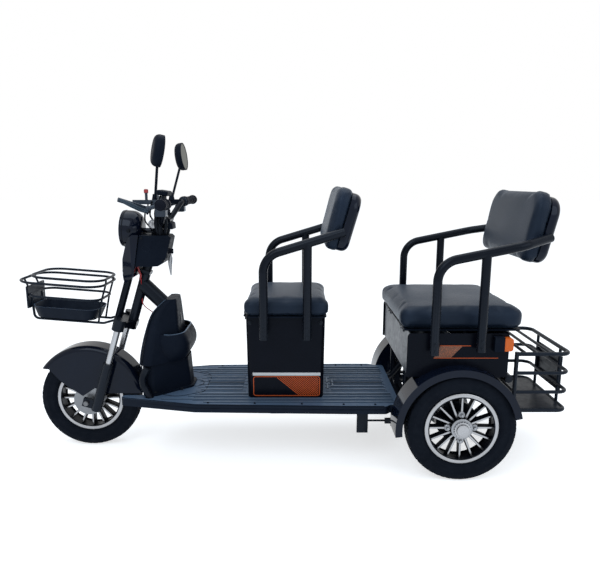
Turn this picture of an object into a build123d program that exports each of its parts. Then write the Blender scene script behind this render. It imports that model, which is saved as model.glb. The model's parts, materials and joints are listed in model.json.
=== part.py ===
from build123d import *
import os
from math import cos, radians, sin, tan

# Three-wheeled electric tricycle with a driver's seat and a rear bench.
# Millimetres and degrees.  +X is forward, +Y is the vehicle's left, +Z is up, and the
# ground is Z = 0.  A "station" is a distance behind the front axle, so X = back(station).

os.makedirs("parts", exist_ok=True)

# ---------------------------------------------------------------- driving dimensions
wheelbase = 1467
joint_gap = 0.3  # between pieces that touch on curved faces, or that move past each other
running_gap = 8  # between a moving piece and what it passes

# wheels
tyre_radius = 205
tyre_width = 78
tyre_shoulder_radius = 197
tyre_shoulder_half = 31
bead_radius = 128
bead_half = 26
rim_lip_radius = 136
rim_lip_inner = 119
rim_lip_thick = 5
rim_wall = 5
spoke_count = 16
spoke_root_width = 13
spoke_tip_width = 9
spoke_thick = 12
hub_radius = 36
hub_half = 34
hub_cap_radius = 23
hub_cap_rise = 14
track = 600  # between the middles of the rear tyres
axle_radius = 8
axle_nut_radius = 10
stub_radius = 12

# steering head and fork
rake = 17.5
clamp_station = 178  # where the steering axis crosses the lower clamp
clamp_height = 506
leg_offset = 34  # legs ahead of the steering axis
leg_spread = 78  # each leg to the side of the middle
leg_cap_radius = 24
stanchion_radius = 13
lower_leg_radius = 20
lower_leg_top = -150  # along the steering axis, from the clamp
bracket_top = 250
bracket_offset = 61  # front bracket tube ahead of the steering axis
bracket_radius = 15
clamp_low = -4
clamp_high = 33
leg_cap_high = 42
clamp_plate_low = 8
steerer_radius = 13
head_tube_radius = 20
head_tube_low = 34
head_tube_high = 234
spine_start_up = 190  # where the spine meets the head tube, along the steering axis
spine_bend = (358, 564)  # station and height
spine_foot = (345, 240)

# deck and frame
deck_top = 262
deck_skirt = 31
deck_wall = 3
deck_front_station = 172
deck_front_half = 169
deck_shoulder_station = 470
deck_shoulder_half = 238
deck_waist_station = 1062
deck_rear_station = 1257
deck_rear_half = 256
deck_corner = 12
deck_notch = 57  # length of the narrower rear end between the fenders
wheel_bay_half = 138
wheel_bay_station = 256
groove_width = 5
groove_depth = 1.6
rail_radius = 15
rail_half_spacing = 150
rail_height = 240
rail_front_station = 285
kick_station = 1276
kick_length = 80
kick_height = 350
cross_radius = 12
rear_cross_radius = 16
seat_rail_height = 544
bench_post_front = 1290
bench_post_rear = 1610
spine_radius = 30
guard_tube_radius = 14
guard_tube_half = 160
guard_tube_station = 250
guard_tube_foot = 292
guard_tube_height = 330
belly_front_station = 745
belly_rear_station = 1215
belly_half = 134
belly_low = 182
belly_wall = 3

# leg shield; each section has its height, front and rear stations, its half width at the
# front and at the rear, the length that stays widest and its corner radius
shield_low = 390
shield_base_sections = (
    (deck_top + joint_gap, 250, 424, 140, 36, 44, 22),
    (shield_low, 250, 414, 140, 46, 44, 22),
)
shield_plate = (262, 434, 152, 44, 44, 26)
shield_plate_thick = 8
shield_sections = (
    (shield_low, 248, 391, 164, 76, 42, 26),
    (440, 254, 390, 156, 74, 42, 26),
    (508, 266, 386, 133, 66, 38, 24),
    (585, 291, 381, 98, 56, 32, 20),
    (634, 338, 376, 62, 46, 22, 13),
)
pocket_sections = (  # height, rear station, half width
    (shield_low, 405, 108),
    (440, 431, 128),
    (504, 412, 126),
)
pocket_front_station = 288
pocket_corner = 58
pocket_wall = 3

# driver's seat
box_front_station = 669
box_rear_station = 965
box_half = 165
box_top_height = 590
box_flare = 5
box_corner = 24
box_wall = 4
pan_thick = 5
pan_inset = 6
hinge_radius = 5
hinge_pin = 2
hinge_half = 24  # length of each barrel
hinge_side_gap = 0.5
hinge_reach = 6  # axis ahead of the box's front
hinge_drop = 5  # axis below the box's rim
front_hinges = (-90, 90)
rear_hinges = (-150, 150)
front_cushion_front = 660
front_cushion_rear = 980
front_cushion_half = 197
front_cushion_thick = 72
armrest_radius = 16.5
front_arm_half = 228
front_post_station = 737
front_rear_post_station = 899
front_post_low = 516
front_bend_height = 827
front_rail_rise = 17
front_rail_end_station = 1034
arm_bend = 80

# rear bench
body_front_station = 1262
body_rear_station = 1634
front_panel_station = 1270
front_panel_low = 392
back_panel_low = 370
side_panel_low = 392
body_half = 292
body_top_height = 557
panel_wall = 4
bench_front = 1244
bench_rear = 1698
bench_half = 262
bench_thick = 86
rear_arm_half = 323
rear_front_post_station = 1354
rear_rear_post_station = 1521
rear_post_low = 486
rear_rear_post_low = 498
rear_bend_height = 818
rear_rail_rise = 11.6
rear_rail_turn_station = 1652
rear_rail_end_station = 1762
rail_saddle_back = 11  # from the rail's end to its saddle on the backrest
rail_saddle_radius = 8
arm_stub_radius = 10
arm_stub_rise = 24  # stubs above the lower ends of the posts

# backrests
pad_thick = 49
shell_thick = 40
pad_edge = 16
pad_round = 26
shell_inset = 10  # the shell's top below the pad's
front_pad_half = front_arm_half - armrest_radius - joint_gap
front_pad_station = 990
front_pad_centre = 970
front_pad_height = 228
front_pad_lean = 16
front_pad_corners = (62, 40)  # top and bottom
rear_pad_half = 250
rear_pad_station = 1704
rear_pad_centre = 942
rear_pad_height = 255
rear_pad_lean = 12.7
rear_pad_corners = (70, 46)

# rear fenders
fender_ahead = 15  # centre of the arch ahead of the rear axle
fender_radius = 233
fender_wall = 5
fender_outer = 352
fender_inner = 244
fender_lip = 26
fender_low_front = -6
fender_low_rear = 12
fender_stay_stations = (1378, 1566)
arm_height = 222
arm_pivot_station = 1322

# front fender
guard_radius = 231
guard_wall = 4
guard_half = 54
guard_corner = 22
guard_front_angle = 36
guard_rear_low = 32
front_drum_radius = 62
drum_clearance = 1.2
lug_thick = 14
lug_inset = 6

# baskets
wire_radius = 4
rack_radius = 8
rack_half = 196
rack_front_station = 1703
rack_rear_station = 1912
rack_bars = (1740, 1786, 1838)
rack_post_half = 105
rear_plate_half = 110
rear_plate_low = 268
rear_plate_high = 412
plate_thick = 2.5
rack_heights = (450, 374, 297)
rack_floor_height = 221
basket_tilt = 4.5
basket_station = -60
basket_height = 650
basket_rails = (  # ahead of the middle, above it, length, width, corner radius
    (-14, 75, 283, 231, 65),
    (7, 54, 323, 256, 70),
    (0, -6, 281, 190, 50),
)
tray_size = (262, 172, 46)
tray_top = -48
tray_corner = 50
tray_taper = 16
tray_wall = 2.5
front_plate_half = 75
front_plate_low = 602
front_plate_high = 688
basket_strut_half = 45
basket_clip_radius = 7
basket_strut_rear = -149  # where the struts turn up to the fork, from the basket's middle

# controls
bar_radius = 11
grip_radius = 16
grip_length = 118
bar_end_half = 312
bar_end_station = 393
bar_end_height = 1016
bar_clamp_station = 335
bar_clamp_height = 936
stem_top = 440
stem_radius = 19
clamp_block_half = 32
clamp_block_length = 48
clamp_block_thick = 44
mirror_root_half = 142
mirror_root_station = 334
mirror_root_height = 1020
mirror_head_half = 204
mirror_station = 382
mirror_height = 1200
mirror_radius_y = 40
mirror_radius_z = 57
mirror_depth = 34
mirror_lip = 4
mirror_recess = 4
mirror_lean = {1: -11, -1: 7}  # top leaning ahead, left and right
mirror_yaw = {1: 26, -1: 8}  # glass turned towards the middle, left and right
stem_rod_radius = 5
dial_rise = 115
dial_size = (44, 84, 20)
dial_lean = -9
lever_pivot = (316, 186, 998)
lever_tip = (238, 272, 1033)
lever_width = 16
lever_thick = 9
switch_station = 363
switch_half = 174
switch_height = 984
switch_size = (38, 34, 30)
latch_stations = (258, 362)
latch_height = 1021
knob_station = 308
knob_top = 1067
lamp_radius = 73
lamp_depth = 80
lamp_wall = 4
lamp_bezel = 8
lamp_arm_radius = 10
lamp_gap = 3
lamp_station = 209
lamp_height = 912
panel_half = 84
panel_nose_half = 52
cover_half = 77
cover_rear_half = 38

# brakes and suspension
motor_radius = 86
motor_width = 120
axle_tube_radius = 30
drum_radius = 78
shock_radius = 24
battery_size = (181, 300, 168)
plate_hole_radius = 3.25
front_plate_holes = 110
rear_plate_holes = 140

# ------------------------------------------------------------------ derived places
frame_rear_station = rack_front_station - rack_radius - rear_cross_radius - joint_gap
rear_plate_hole_height = (rear_plate_low + rear_plate_high) / 2
belly_ahead, belly_up, belly_length = basket_rails[1][:3]
belly_front = (belly_ahead + belly_length / 2) * cos(radians(basket_tilt))
belly_front -= belly_up * sin(radians(basket_tilt))
front_reach = belly_front + wire_radius - basket_station
rear_reach = rack_rear_station + rack_radius + plate_thick
front_axle_x = (rear_reach - front_reach) / 2
waist_front = (basket_rails[2][0] + basket_rails[2][2] / 2) * cos(radians(basket_tilt))
front_plate_x = front_axle_x - basket_station + waist_front + wire_radius + plate_thick
front_plate_hole_height = (front_plate_low + front_plate_high) / 2
front_axle = Vector(front_axle_x, 0, tyre_radius)
boss_reach = leg_spread - lower_leg_radius - guard_half - joint_gap
rear_axle_station = wheelbase
wheel_centre_y = track / 2


def back(station):
    """X of a place that lies this far behind the front axle."""
    return front_axle_x - station


def at(station, side, height):
    """Point from a station, a distance to the left and a height."""
    return Vector(back(station), side, height)


def steer(forward, side, up):
    """Point given in the fork's own directions, from the lower clamp's middle."""
    x = forward * cos(radians(rake)) - up * sin(radians(rake))
    z = forward * sin(radians(rake)) + up * cos(radians(rake))
    return at(clamp_station, side, clamp_height) + Vector(x, 0, z)


steer_frame = Location(tuple(steer(0, 0, 0)), (0, -rake, 0))


# -------------------------------------------------------------------- shape helpers
def rod(start, end, radius):
    """Round bar between two points."""
    start, end = Vector(*start), Vector(*end)
    plane = Plane(origin=start, z_dir=end - start)
    return extrude(plane * Circle(radius), (end - start).length)


def ring_rod(start, end, radius, bore):
    """Round tube between two points."""
    start, end = Vector(*start), Vector(*end)
    plane = Plane(origin=start, z_dir=end - start)
    return extrude(plane * (Circle(radius) - Circle(bore)), (end - start).length)


def bent(points, radius, bend):
    """Round bar along straight runs that are joined by arcs."""
    path = FilletPolyline(*points, radius=bend)
    section = Plane(origin=path @ 0, z_dir=path % 0) * Circle(radius)
    return sweep(section, path=path)


def block(station_low, station_high, y_low, y_high, z_low, z_high):
    """Box between two stations, two sides and two heights."""
    size = (station_high - station_low, y_high - y_low, z_high - z_low)
    middle = at((station_low + station_high) / 2, (y_low + y_high) / 2, (z_low + z_high) / 2)
    return Pos(middle) * Box(*size)


def soft_block(station_low, station_high, y_half, z_low, z_high, round_top, round_side):
    """Cushion block with rounded upright corners and a rounded top."""
    body = block(station_low, station_high, -y_half, y_half, z_low, z_high)
    body = fillet(body.edges().filter_by(Axis.Z), round_side)
    return fillet(body.faces().sort_by(Axis.Z)[-1].edges(), round_top)


def both(make):
    """The left and right copies of a piece that make(side) builds, side being 1 or -1."""
    return [make(1), make(-1)]


def joined(pieces):
    """One shape out of many."""
    result = pieces[0]
    for piece in pieces[1:]:
        result = result + piece
    return result


def save(name, shape):
    """Write one sub-part; several separate solids may share a node."""
    if isinstance(shape, (list, tuple)):
        solids = [solid for piece in shape for solid in piece.solids()]
        shape = solids[0] if len(solids) == 1 else Compound(children=solids)
    elif len(shape.solids()) == 1:
        shape = shape.solids()[0]
    shape.label = name
    export_step(shape, f"parts/{name}.step")


# --------------------------------------------------------------------------- wheels
def tyre(centre):
    half = tyre_width / 2
    belly = (bead_radius + tyre_radius) / 2
    rise = rim_lip_radius + 1
    outline = Polyline(
        (rise, -bead_half), (bead_radius, -bead_half), (bead_radius, bead_half), (rise, bead_half)
    )
    outline += ThreePointArc(
        (rise, bead_half), (belly, half), (tyre_shoulder_radius, tyre_shoulder_half)
    )
    outline += ThreePointArc(
        (tyre_shoulder_radius, tyre_shoulder_half),
        (tyre_radius, 0),
        (tyre_shoulder_radius, -tyre_shoulder_half),
    )
    outline += ThreePointArc(
        (tyre_shoulder_radius, -tyre_shoulder_half), (belly, -half), (rise, -bead_half)
    )
    return Pos(centre) * revolve(make_face(outline), Axis.Y)


def rim(centre, bore):
    """Cast wheel: barrel with two lips, spokes and a bored hub."""
    barrel_outer = bead_radius - joint_gap
    barrel_inner = barrel_outer - rim_wall
    lip_low = bead_half + joint_gap
    lip_high = lip_low + rim_lip_thick
    ring = Circle(barrel_outer) - Circle(barrel_inner)
    wheel = extrude(Plane.XZ * ring, lip_high, both=True)
    lip = Circle(rim_lip_radius) - Circle(rim_lip_inner)
    for side in (1, -1):
        plane = Plane(origin=(0, side * lip_low, 0), z_dir=(0, side, 0))
        wheel += extrude(plane * lip, rim_lip_thick)
    hub = Circle(hub_radius) - Circle(bore)
    wheel += extrude(Plane.XZ * hub, hub_half, both=True)
    root = hub_radius - 3
    tip = barrel_inner + 2
    spoke = Polyline(
        (root, -spoke_root_width / 2),
        (tip, -spoke_tip_width / 2),
        (tip, spoke_tip_width / 2),
        (root, spoke_root_width / 2),
        close=True,
    )
    arm = extrude(Plane.XZ * make_face(spoke), spoke_thick / 2, both=True)
    for turn in range(spoke_count):
        wheel += Rot(0, turn * 360 / spoke_count, 0) * arm
    return Pos(centre) * wheel


def make_wheels():
    save("front_tyre", tyre(front_axle))
    save("front_rim", rim(front_axle, axle_radius + joint_gap))
    for name, side in (("left", 1), ("right", -1)):
        centre = at(rear_axle_station, side * wheel_centre_y, tyre_radius)
        save(f"rear_tyre_{name}", tyre(centre))
        cap_start = at(rear_axle_station, side * (wheel_centre_y + hub_half - 4), tyre_radius)
        cap_y = side * (wheel_centre_y + hub_half + hub_cap_rise)
        cap_end = at(rear_axle_station, cap_y, tyre_radius)
        wheel = rim(centre, stub_radius + joint_gap) + rod(cap_start, cap_end, hub_cap_radius)
        save(f"rear_rim_{name}", wheel)


# ----------------------------------------------------------------------------- fork
axle_forward = (
    clamp_station * cos(radians(rake)) + (tyre_radius - clamp_height) * sin(radians(rake))
)
axle_up = (tyre_radius - clamp_height) * cos(radians(rake)) - clamp_station * sin(radians(rake))
head_low = steer(0, 0, head_tube_low)
head_high = steer(0, 0, head_tube_high)


def fork_top(growth):
    """Front bracket tube and the plate that ties it to the steerer, grown by a clearance."""
    low, high = steer(bracket_offset, 0, clamp_plate_low), steer(bracket_offset, 0, bracket_top)
    tube = rod(low, high, bracket_radius + growth)
    rear, front = -head_tube_radius, bracket_offset + bracket_radius
    plate = Box(front - rear + 2 * growth, 2 * head_tube_radius + 8 + 2 * growth, 14 + 2 * growth)
    return tube + steer_frame * Pos((front + rear) / 2, 0, bracket_top - 7) * plate


def make_fork():
    stem = fork_top(0) + rod(steer(0, 0, clamp_plate_low), steer(0, 0, bracket_top), steerer_radius)
    stem += rod(steer(0, 0, clamp_low), steer(0, 0, clamp_high), head_tube_radius)
    arm_front, arm_rear = leg_offset + 14, leg_offset - 14
    half_line = [(-head_tube_radius, head_tube_radius), (arm_rear, leg_spread)]
    half_line += [(arm_front, leg_spread), (arm_front, 22), (bracket_offset, bracket_radius)]
    line = half_line + [(x, -y) for x, y in reversed(half_line)]
    crown = extrude(make_face(Polyline(*line, close=True)), clamp_high - clamp_plate_low)
    stem += steer_frame * Pos(0, 0, clamp_plate_low) * crown
    for side in (1, -1):
        low = steer(leg_offset, side * leg_spread, clamp_low)
        high = steer(leg_offset, side * leg_spread, leg_cap_high)
        stem += rod(low, high, leg_cap_radius)
    save("fork_stem", stem)

    def stanchion(side):
        low = steer(leg_offset, side * leg_spread, lower_leg_top)
        high = steer(leg_offset, side * leg_spread, clamp_low)
        return rod(low, high, stanchion_radius)

    save("fork_stanchions", both(stanchion))

    def lower(side):
        low = steer(leg_offset, side * leg_spread, axle_up - 18)
        high = steer(leg_offset, side * leg_spread, lower_leg_top)
        leg = rod(low, high, lower_leg_radius)
        lug = Box(axle_forward - leg_offset + 32, lug_thick, 36)
        lug_x = (axle_forward + leg_offset) / 2
        leg += steer_frame * Pos(lug_x, side * (leg_spread - lug_inset), axle_up) * lug
        bore_low = Vector(front_axle_x, -120, tyre_radius)
        bore_high = Vector(front_axle_x, 120, tyre_radius)
        return leg - rod(bore_low, bore_high, axle_radius + 0.01)

    save("fork_lowers", both(lower))
    axle_half = leg_spread + 12
    start = front_axle - Vector(0, axle_half, 0)
    end = front_axle + Vector(0, axle_half, 0)
    axle = rod(start, end, axle_radius)
    for side in (1, -1):
        nut_start = front_axle + Vector(0, side * (leg_spread + 1), 0)
        nut_end = front_axle + Vector(0, side * (leg_spread + 11), 0)
        axle += rod(nut_start, nut_end, axle_nut_radius)
    save("front_axle", axle)


def make_front_fender():
    """Deep valanced guard; its skirt line is given from the wheel's centre, forward and up."""

    def drum(radius, half, corner):
        disc = extrude(Plane.XZ * Circle(radius), half, both=True)
        return fillet(disc.edges().filter_by(GeomType.CIRCLE), corner)

    crown = drum(guard_radius, guard_half, guard_corner)
    inner = guard_radius - guard_wall, guard_half - guard_wall, guard_corner - guard_wall
    crown -= drum(*inner)
    above = 2 * guard_radius
    tip = guard_radius * sin(radians(guard_front_angle))
    line = [(above, tip), (guard_radius * 0.67, tip)]
    line += [(111, 86), (81, 60), (41, 34), (22, 20), (-30, 55), (-73, guard_rear_low)]
    line += [(-above, guard_rear_low), (-above, above), (above, above)]
    keep = extrude(Plane.XZ * make_face(Polyline(*line, close=True)), 2 * guard_half, both=True)
    guard = Pos(front_axle) * (crown & keep)
    for side in (1, -1):
        middle = steer(leg_offset, side * (guard_half + boss_reach / 2 - 0.5), -230)
        guard += Pos(middle) * Box(26, boss_reach + 1, 40)
    save("front_fender", guard)


def make_front_drum():
    """Brake drum's fixed back plate, held on the left leg."""
    start = front_axle + Vector(0, hub_half + drum_clearance, 0)
    middle = front_axle + Vector(0, guard_half - guard_wall - joint_gap, 0)
    end = front_axle + Vector(0, leg_spread - lug_inset - lug_thick / 2 - joint_gap, 0)
    drum = ring_rod(start, middle, front_drum_radius, axle_radius + joint_gap)
    save("front_drum", drum + ring_rod(start, end, 16, axle_radius + joint_gap))


# ------------------------------------------------------------------------- controls
def make_handlebar():
    clamp = at(bar_clamp_station, 0, bar_clamp_height)
    route = [
        at(bar_end_station, -bar_end_half, bar_end_height),
        at(bar_end_station - 18, -bar_end_half + 170, bar_end_height - 4),
        at(bar_clamp_station, -62, bar_clamp_height),
        at(bar_clamp_station, 62, bar_clamp_height),
        at(bar_end_station - 18, bar_end_half - 170, bar_end_height - 4),
        at(bar_end_station, bar_end_half, bar_end_height),
    ]
    bar = bent(route, bar_radius, 40)
    around_bar = bent(route, bar_radius + joint_gap, 40)
    bar += rod(steer(0, 0, bracket_top), steer(0, 0, stem_top), stem_radius)
    block_size = (clamp_block_length, 2 * clamp_block_half, clamp_block_thick)
    bar += Pos(clamp) * Rot(0, -rake, 0) * Box(*block_size)
    save("handlebar", bar)

    def grip(side):
        end = at(bar_end_station, side * bar_end_half, bar_end_height)
        inner = at(bar_end_station - 18, side * (bar_end_half - 170), bar_end_height - 4)
        along = (inner - end).normalized()
        start = end - along * 4
        sleeve = rod(start, end + along * grip_length, grip_radius)
        return sleeve - rod(end, end + along * (grip_length + 1), bar_radius)

    save("grips", both(grip))

    def lever(side):
        end = at(bar_end_station, side * bar_end_half, bar_end_height)
        inner = at(bar_end_station - 18, side * (bar_end_half - 170), bar_end_height - 4)
        along = (inner - end).normalized()
        root = end + along * (grip_length + 22)
        perch = rod(root - along * 13, root + along * 13, bar_radius + 7)
        perch -= rod(root - along * 20, root + along * 20, bar_radius)
        pivot = at(lever_pivot[0], side * lever_pivot[1], lever_pivot[2])
        tip = at(lever_tip[0], side * lever_tip[1], lever_tip[2])
        reach = tip - pivot
        plane = Plane(origin=pivot, x_dir=reach.cross(Vector(0, 0, 1)), z_dir=reach)
        blade = extrude(plane * RectangleRounded(lever_thick, lever_width, 4), reach.length)
        switch = Pos(at(switch_station, side * switch_half, switch_height)) * Box(*switch_size)
        piece = perch + rod(root + Vector(14, 0, 0), pivot, 8) + Pos(pivot) * Sphere(10)
        piece += blade + fillet(switch.edges().filter_by(Axis.Y), 5)
        if side == 1:
            front, rear = latch_stations
            low, high = root.Y - 16, root.Y - 4
            piece += block(front, rear, low, high, latch_height - 8, latch_height + 8)
            foot = at(knob_station, (low + high) / 2, latch_height)
            top = at(knob_station, (low + high) / 2, knob_top)
            piece += rod(foot, top, 5) + rod(top - Vector(0, 0, 14), top, 7)
        return piece - around_bar

    save("brake_levers", both(lever))

    def mirror_frame(side):
        """Glass plane of a mirror, facing ahead; the shell lies ahead of it."""
        lean, yaw = radians(mirror_lean[side]), side * radians(mirror_yaw[side])
        ahead = (cos(lean) * cos(yaw), cos(lean) * sin(yaw), -sin(lean))
        head = at(mirror_station, side * mirror_head_half, mirror_height)
        return Plane(origin=head, x_dir=(-sin(yaw), cos(yaw), 0), z_dir=ahead)

    def mirror(side):
        plane = mirror_frame(side)
        root = at(mirror_root_station, side * mirror_root_half, mirror_root_height)
        inside = plane.origin + plane.z_dir * (mirror_depth / 2) - Vector(0, 0, mirror_radius_z / 2)
        low, high = sorted((side * (mirror_root_half - 8), side * (mirror_root_half + 8)))
        foot = (mirror_root_station - 12, bar_end_station - 18, low, high)
        piece = block(*foot, mirror_root_height - 14, mirror_root_height + 2)
        piece += Pos(root + Vector(0, 0, 15)) * Cone(13, 7, 30)
        piece += rod(root, inside, stem_rod_radius) + Pos(inside) * Sphere(7)
        shell = extrude(plane * Ellipse(mirror_radius_y, mirror_radius_z), mirror_depth)
        shell = fillet(shell.faces().sort_by(Axis.X)[-1].edges(), mirror_depth * 0.6)
        recess = Ellipse(mirror_radius_y - mirror_lip, mirror_radius_z - mirror_lip)
        return shell + piece - around_bar - extrude(plane * recess, mirror_recess)

    save("mirrors", both(mirror))

    def glass(side):
        inset = mirror_lip + joint_gap
        size = (mirror_radius_y - inset, mirror_radius_z - inset)
        return extrude(mirror_frame(side).offset(1) * Ellipse(*size), mirror_recess - 1)

    save("mirror_glasses", both(glass))
    dial = fillet(Box(*dial_size).edges(), 6)
    dial_height = bar_clamp_height + dial_rise
    dash = Pos(at(bar_clamp_station + 2, 0, dial_height)) * Rot(0, dial_lean, 0) * dial
    slope = radians(rake)
    shelf_low = bar_clamp_height + clamp_block_thick / 2 / cos(slope) + 6 * tan(slope) + joint_gap
    low, high = bar_clamp_station - 6, bar_clamp_station + 6
    save("display", dash + block(low, high, -20, 20, shelf_low, dial_height))


def lamp_plane():
    """Rim plane of the headlight, facing ahead and a little up."""
    middle = at(lamp_station - lamp_depth / 2, 0, lamp_height)
    return Plane(origin=middle, x_dir=(0, 1, 0), z_dir=(1, 0, 0.06))


def make_headlight():
    plane = lamp_plane()
    shell = extrude(plane * Circle(lamp_radius), -lamp_depth)
    shell = fillet(shell.faces().sort_by(Axis.X)[0].edges(), lamp_depth * 0.55)
    shell = fillet(shell.faces().sort_by(Axis.X)[-1].edges(), lamp_bezel)
    shell -= extrude(plane * Circle(lamp_radius - lamp_wall), -lamp_depth * 0.45)
    arm_height = lamp_height - 8
    under = arm_height - lamp_arm_radius - clamp_height
    stem_front = clamp_station + under * tan(radians(rake)) - stem_radius / cos(radians(rake))
    start = at(lamp_station + lamp_depth / 2 - 12, 0, arm_height)
    shell += rod(start, at(stem_front - joint_gap, 0, arm_height), lamp_arm_radius)
    save("headlight_shell", shell)
    lens = extrude(plane.offset(-3) * Circle(lamp_radius - lamp_wall - joint_gap), -8)
    save("headlight_lens", lens)


def lamp_envelope():
    plane = lamp_plane()
    around = plane * Circle(lamp_radius + lamp_gap)
    return extrude(around, 20) + extrude(around, -lamp_depth - lamp_gap)


def from_side(line, half):
    """Flat-sided solid from a side outline of (station, height) points."""
    outline = [(back(station), height) for station, height in line]
    return extrude(Plane.XZ * make_face(Polyline(*outline, close=True)), half, both=True)


def make_covers():
    """Glossy nose panel ahead of the fork and the plain cover behind it."""
    line = [(177, 698), (168, 727), (166, 758), (173, 797), (190, 849), (206, 881), (222, 892)]
    line += [(248, 892), (238, 835), (220, 727)]
    half_plan = [(162, 0), (164, panel_nose_half - 16), (172, panel_nose_half)]
    half_plan += [(214, panel_half - 4), (240, panel_half), (270, panel_half)]
    plan = [(back(station), y) for station, y in half_plan]
    plan += [(back(station), -y) for station, y in reversed(half_plan[1:])]
    taper = extrude(Pos(0, 0, 600) * make_face(Polyline(*plan, close=True)), 400)
    panel = (from_side(line, panel_half) & taper) - lamp_envelope() - fork_top(joint_gap)
    save("front_panel", panel)
    line = [(250, 890), (354, 887), (364, 878), (343, 798), (330, 777), (314, 768), (228, 768)]
    line += [(240, 835)]
    half_plan = [(220, cover_half), (290, cover_half), (366, cover_rear_half)]
    plan = [(back(station), y) for station, y in half_plan]
    plan += [(back(station), -y) for station, y in reversed(half_plan)]
    taper = extrude(Pos(0, 0, 600) * make_face(Polyline(*plan, close=True)), 400)
    cover = (from_side(line, cover_half) & taper) - lamp_envelope()
    cover -= rod(steer(0, 0, bracket_top - 40), steer(0, 0, stem_top), stem_radius + joint_gap)
    save("head_cover", cover)
    start = at(bar_clamp_station - 38, clamp_block_half + joint_gap, bar_clamp_height - 4)
    save("horn", rod(start, start + Vector(0, 14, 0), 17))


# ---------------------------------------------------------------------------- frame
def guard_tube(side, radius):
    """Bent tube at the front of the deck, up to the shield's wing."""
    y = side * guard_tube_half
    foot = at(guard_tube_foot, y, rail_height)
    knee = at(guard_tube_station, y, guard_tube_height)
    head = at(guard_tube_foot - 14, y, shield_low - 8)
    return bent([foot, knee, head], radius, 60)


def make_frame():
    head_bore = rod(head_low, head_high, steerer_radius + joint_gap)
    frame = rod(head_low, head_high, head_tube_radius)
    route = [steer(0, 0, spine_start_up), at(spine_bend[0], 0, spine_bend[1])]
    route += [at(spine_foot[0], 0, spine_foot[1])]
    frame += bent(route, spine_radius, 70)
    half = rail_half_spacing
    frame += rod(
        at(rail_front_station, -half, rail_height), at(rail_front_station, half, rail_height), 15
    )
    frame += block(rail_front_station, spine_foot[0], -40, 40, rail_height - 12, rail_height + 12)
    frame += rod(at(spine_foot[0], -half, rail_height), at(spine_foot[0], half, rail_height), 12)
    for side in (1, -1):
        y = side * half
        route = [
            at(rail_front_station, y, rail_height),
            at(kick_station, y, rail_height),
            at(kick_station + kick_length, y, kick_height),
            at(frame_rear_station, y, kick_height),
        ]
        frame += bent(route, rail_radius, 40)
        for station in (bench_post_front, bench_post_rear):
            low = kick_height if station > kick_station + kick_length else rail_height + 22
            frame += rod(at(station, y, low), at(station, y, seat_rail_height), cross_radius)
        frame += rod(
            at(bench_post_front - 12, y, seat_rail_height),
            at(bench_post_rear + 12, y, seat_rail_height),
            cross_radius,
        )
        for station in fender_stay_stations:
            frame += rod(
                at(station, y, kick_height),
                at(station, side * (fender_inner - joint_gap), kick_height),
                9,
            )
        frame += block(
            arm_pivot_station - 24,
            arm_pivot_station,
            min(y, y + side * 56),
            max(y, y + side * 56),
            arm_height - 16,
            kick_height - 60,
        )
        frame += guard_tube(side, guard_tube_radius)
    for station in (660, belly_front_station + 20, belly_rear_station - 20):
        frame += rod(at(station, -half, rail_height), at(station, half, rail_height), cross_radius)
    for station in (bench_post_front, bench_post_rear):
        frame += rod(
            at(station, -half, seat_rail_height), at(station, half, seat_rail_height), cross_radius
        )
    frame += rod(
        at(frame_rear_station, -rack_half, kick_height),
        at(frame_rear_station, rack_half, kick_height),
        rear_cross_radius,
    )
    save("main_frame", frame - head_bore)


# ----------------------------------------------------------------------------- deck
def make_deck():
    half_line = [
        (wheel_bay_station, 0),
        (wheel_bay_station, wheel_bay_half),
        (deck_front_station, wheel_bay_half),
        (deck_front_station, deck_front_half),
        (deck_shoulder_station, deck_shoulder_half),
        (deck_waist_station, deck_rear_half),
        (deck_rear_station - deck_notch, deck_rear_half),
        (deck_rear_station - deck_notch + 16, deck_rear_half - 16),
        (deck_rear_station, deck_rear_half - 16),
        (deck_rear_station, 0),
    ]
    outline = [(back(station), y) for station, y in half_line]
    outline += [(back(station), -y) for station, y in reversed(half_line[1:-1])]
    plan = make_face(Polyline(*outline, close=True))
    plan = fillet(plan.vertices(), deck_corner)
    deck = extrude(Pos(0, 0, deck_top) * plan, -deck_skirt)
    inner = offset(plan, -deck_wall)
    deck -= extrude(Pos(0, 0, deck_top - deck_skirt) * inner, deck_skirt - deck_wall)
    z = deck_top - groove_depth / 2
    for side in (1, -1):
        for y in (133, 162, 194):
            start = spine_foot[0] + 110
            middle = at((start + deck_rear_station - 20) / 2, side * y, z)
            length = deck_rear_station - 20 - start
            deck -= Pos(middle) * Box(length, groove_width, groove_depth + 0.01)
        for y in (19, 57, 95):
            for start, end in ((452, 655), (978, 1228)):
                middle = at((start + end) / 2, side * y, z)
                deck -= Pos(middle) * Box(end - start, groove_width, groove_depth + 0.01)
        deck -= guard_tube(side, guard_tube_radius + 2)
    open_half = rail_half_spacing + rail_radius + 3
    low, high = deck_rear_station - 2 * deck_wall, deck_rear_station + 1
    deck -= block(low, high, -open_half, open_half, 0, deck_top - deck_wall)
    deck -= Pos(at(spine_foot[0], 0, deck_top)) * Cylinder(spine_radius + 3, 40)
    save("footboard", deck)
    pan = block(
        belly_front_station,
        belly_rear_station,
        -belly_half,
        belly_half,
        belly_low,
        rail_height - cross_radius - joint_gap,
    )
    pan = fillet(pan.edges().filter_by(Axis.Z), 16)
    pan -= block(
        belly_front_station + belly_wall,
        belly_rear_station - belly_wall,
        -belly_half + belly_wall,
        belly_half - belly_wall,
        belly_low + belly_wall,
        rail_height,
    )
    save("belly_pan", pan)


def section(height, front, rear, half, corner):
    """Rounded rectangle at a height."""
    middle = at((front + rear) / 2, 0, height)
    return Pos(middle) * RectangleRounded(rear - front, 2 * half, corner)


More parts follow.
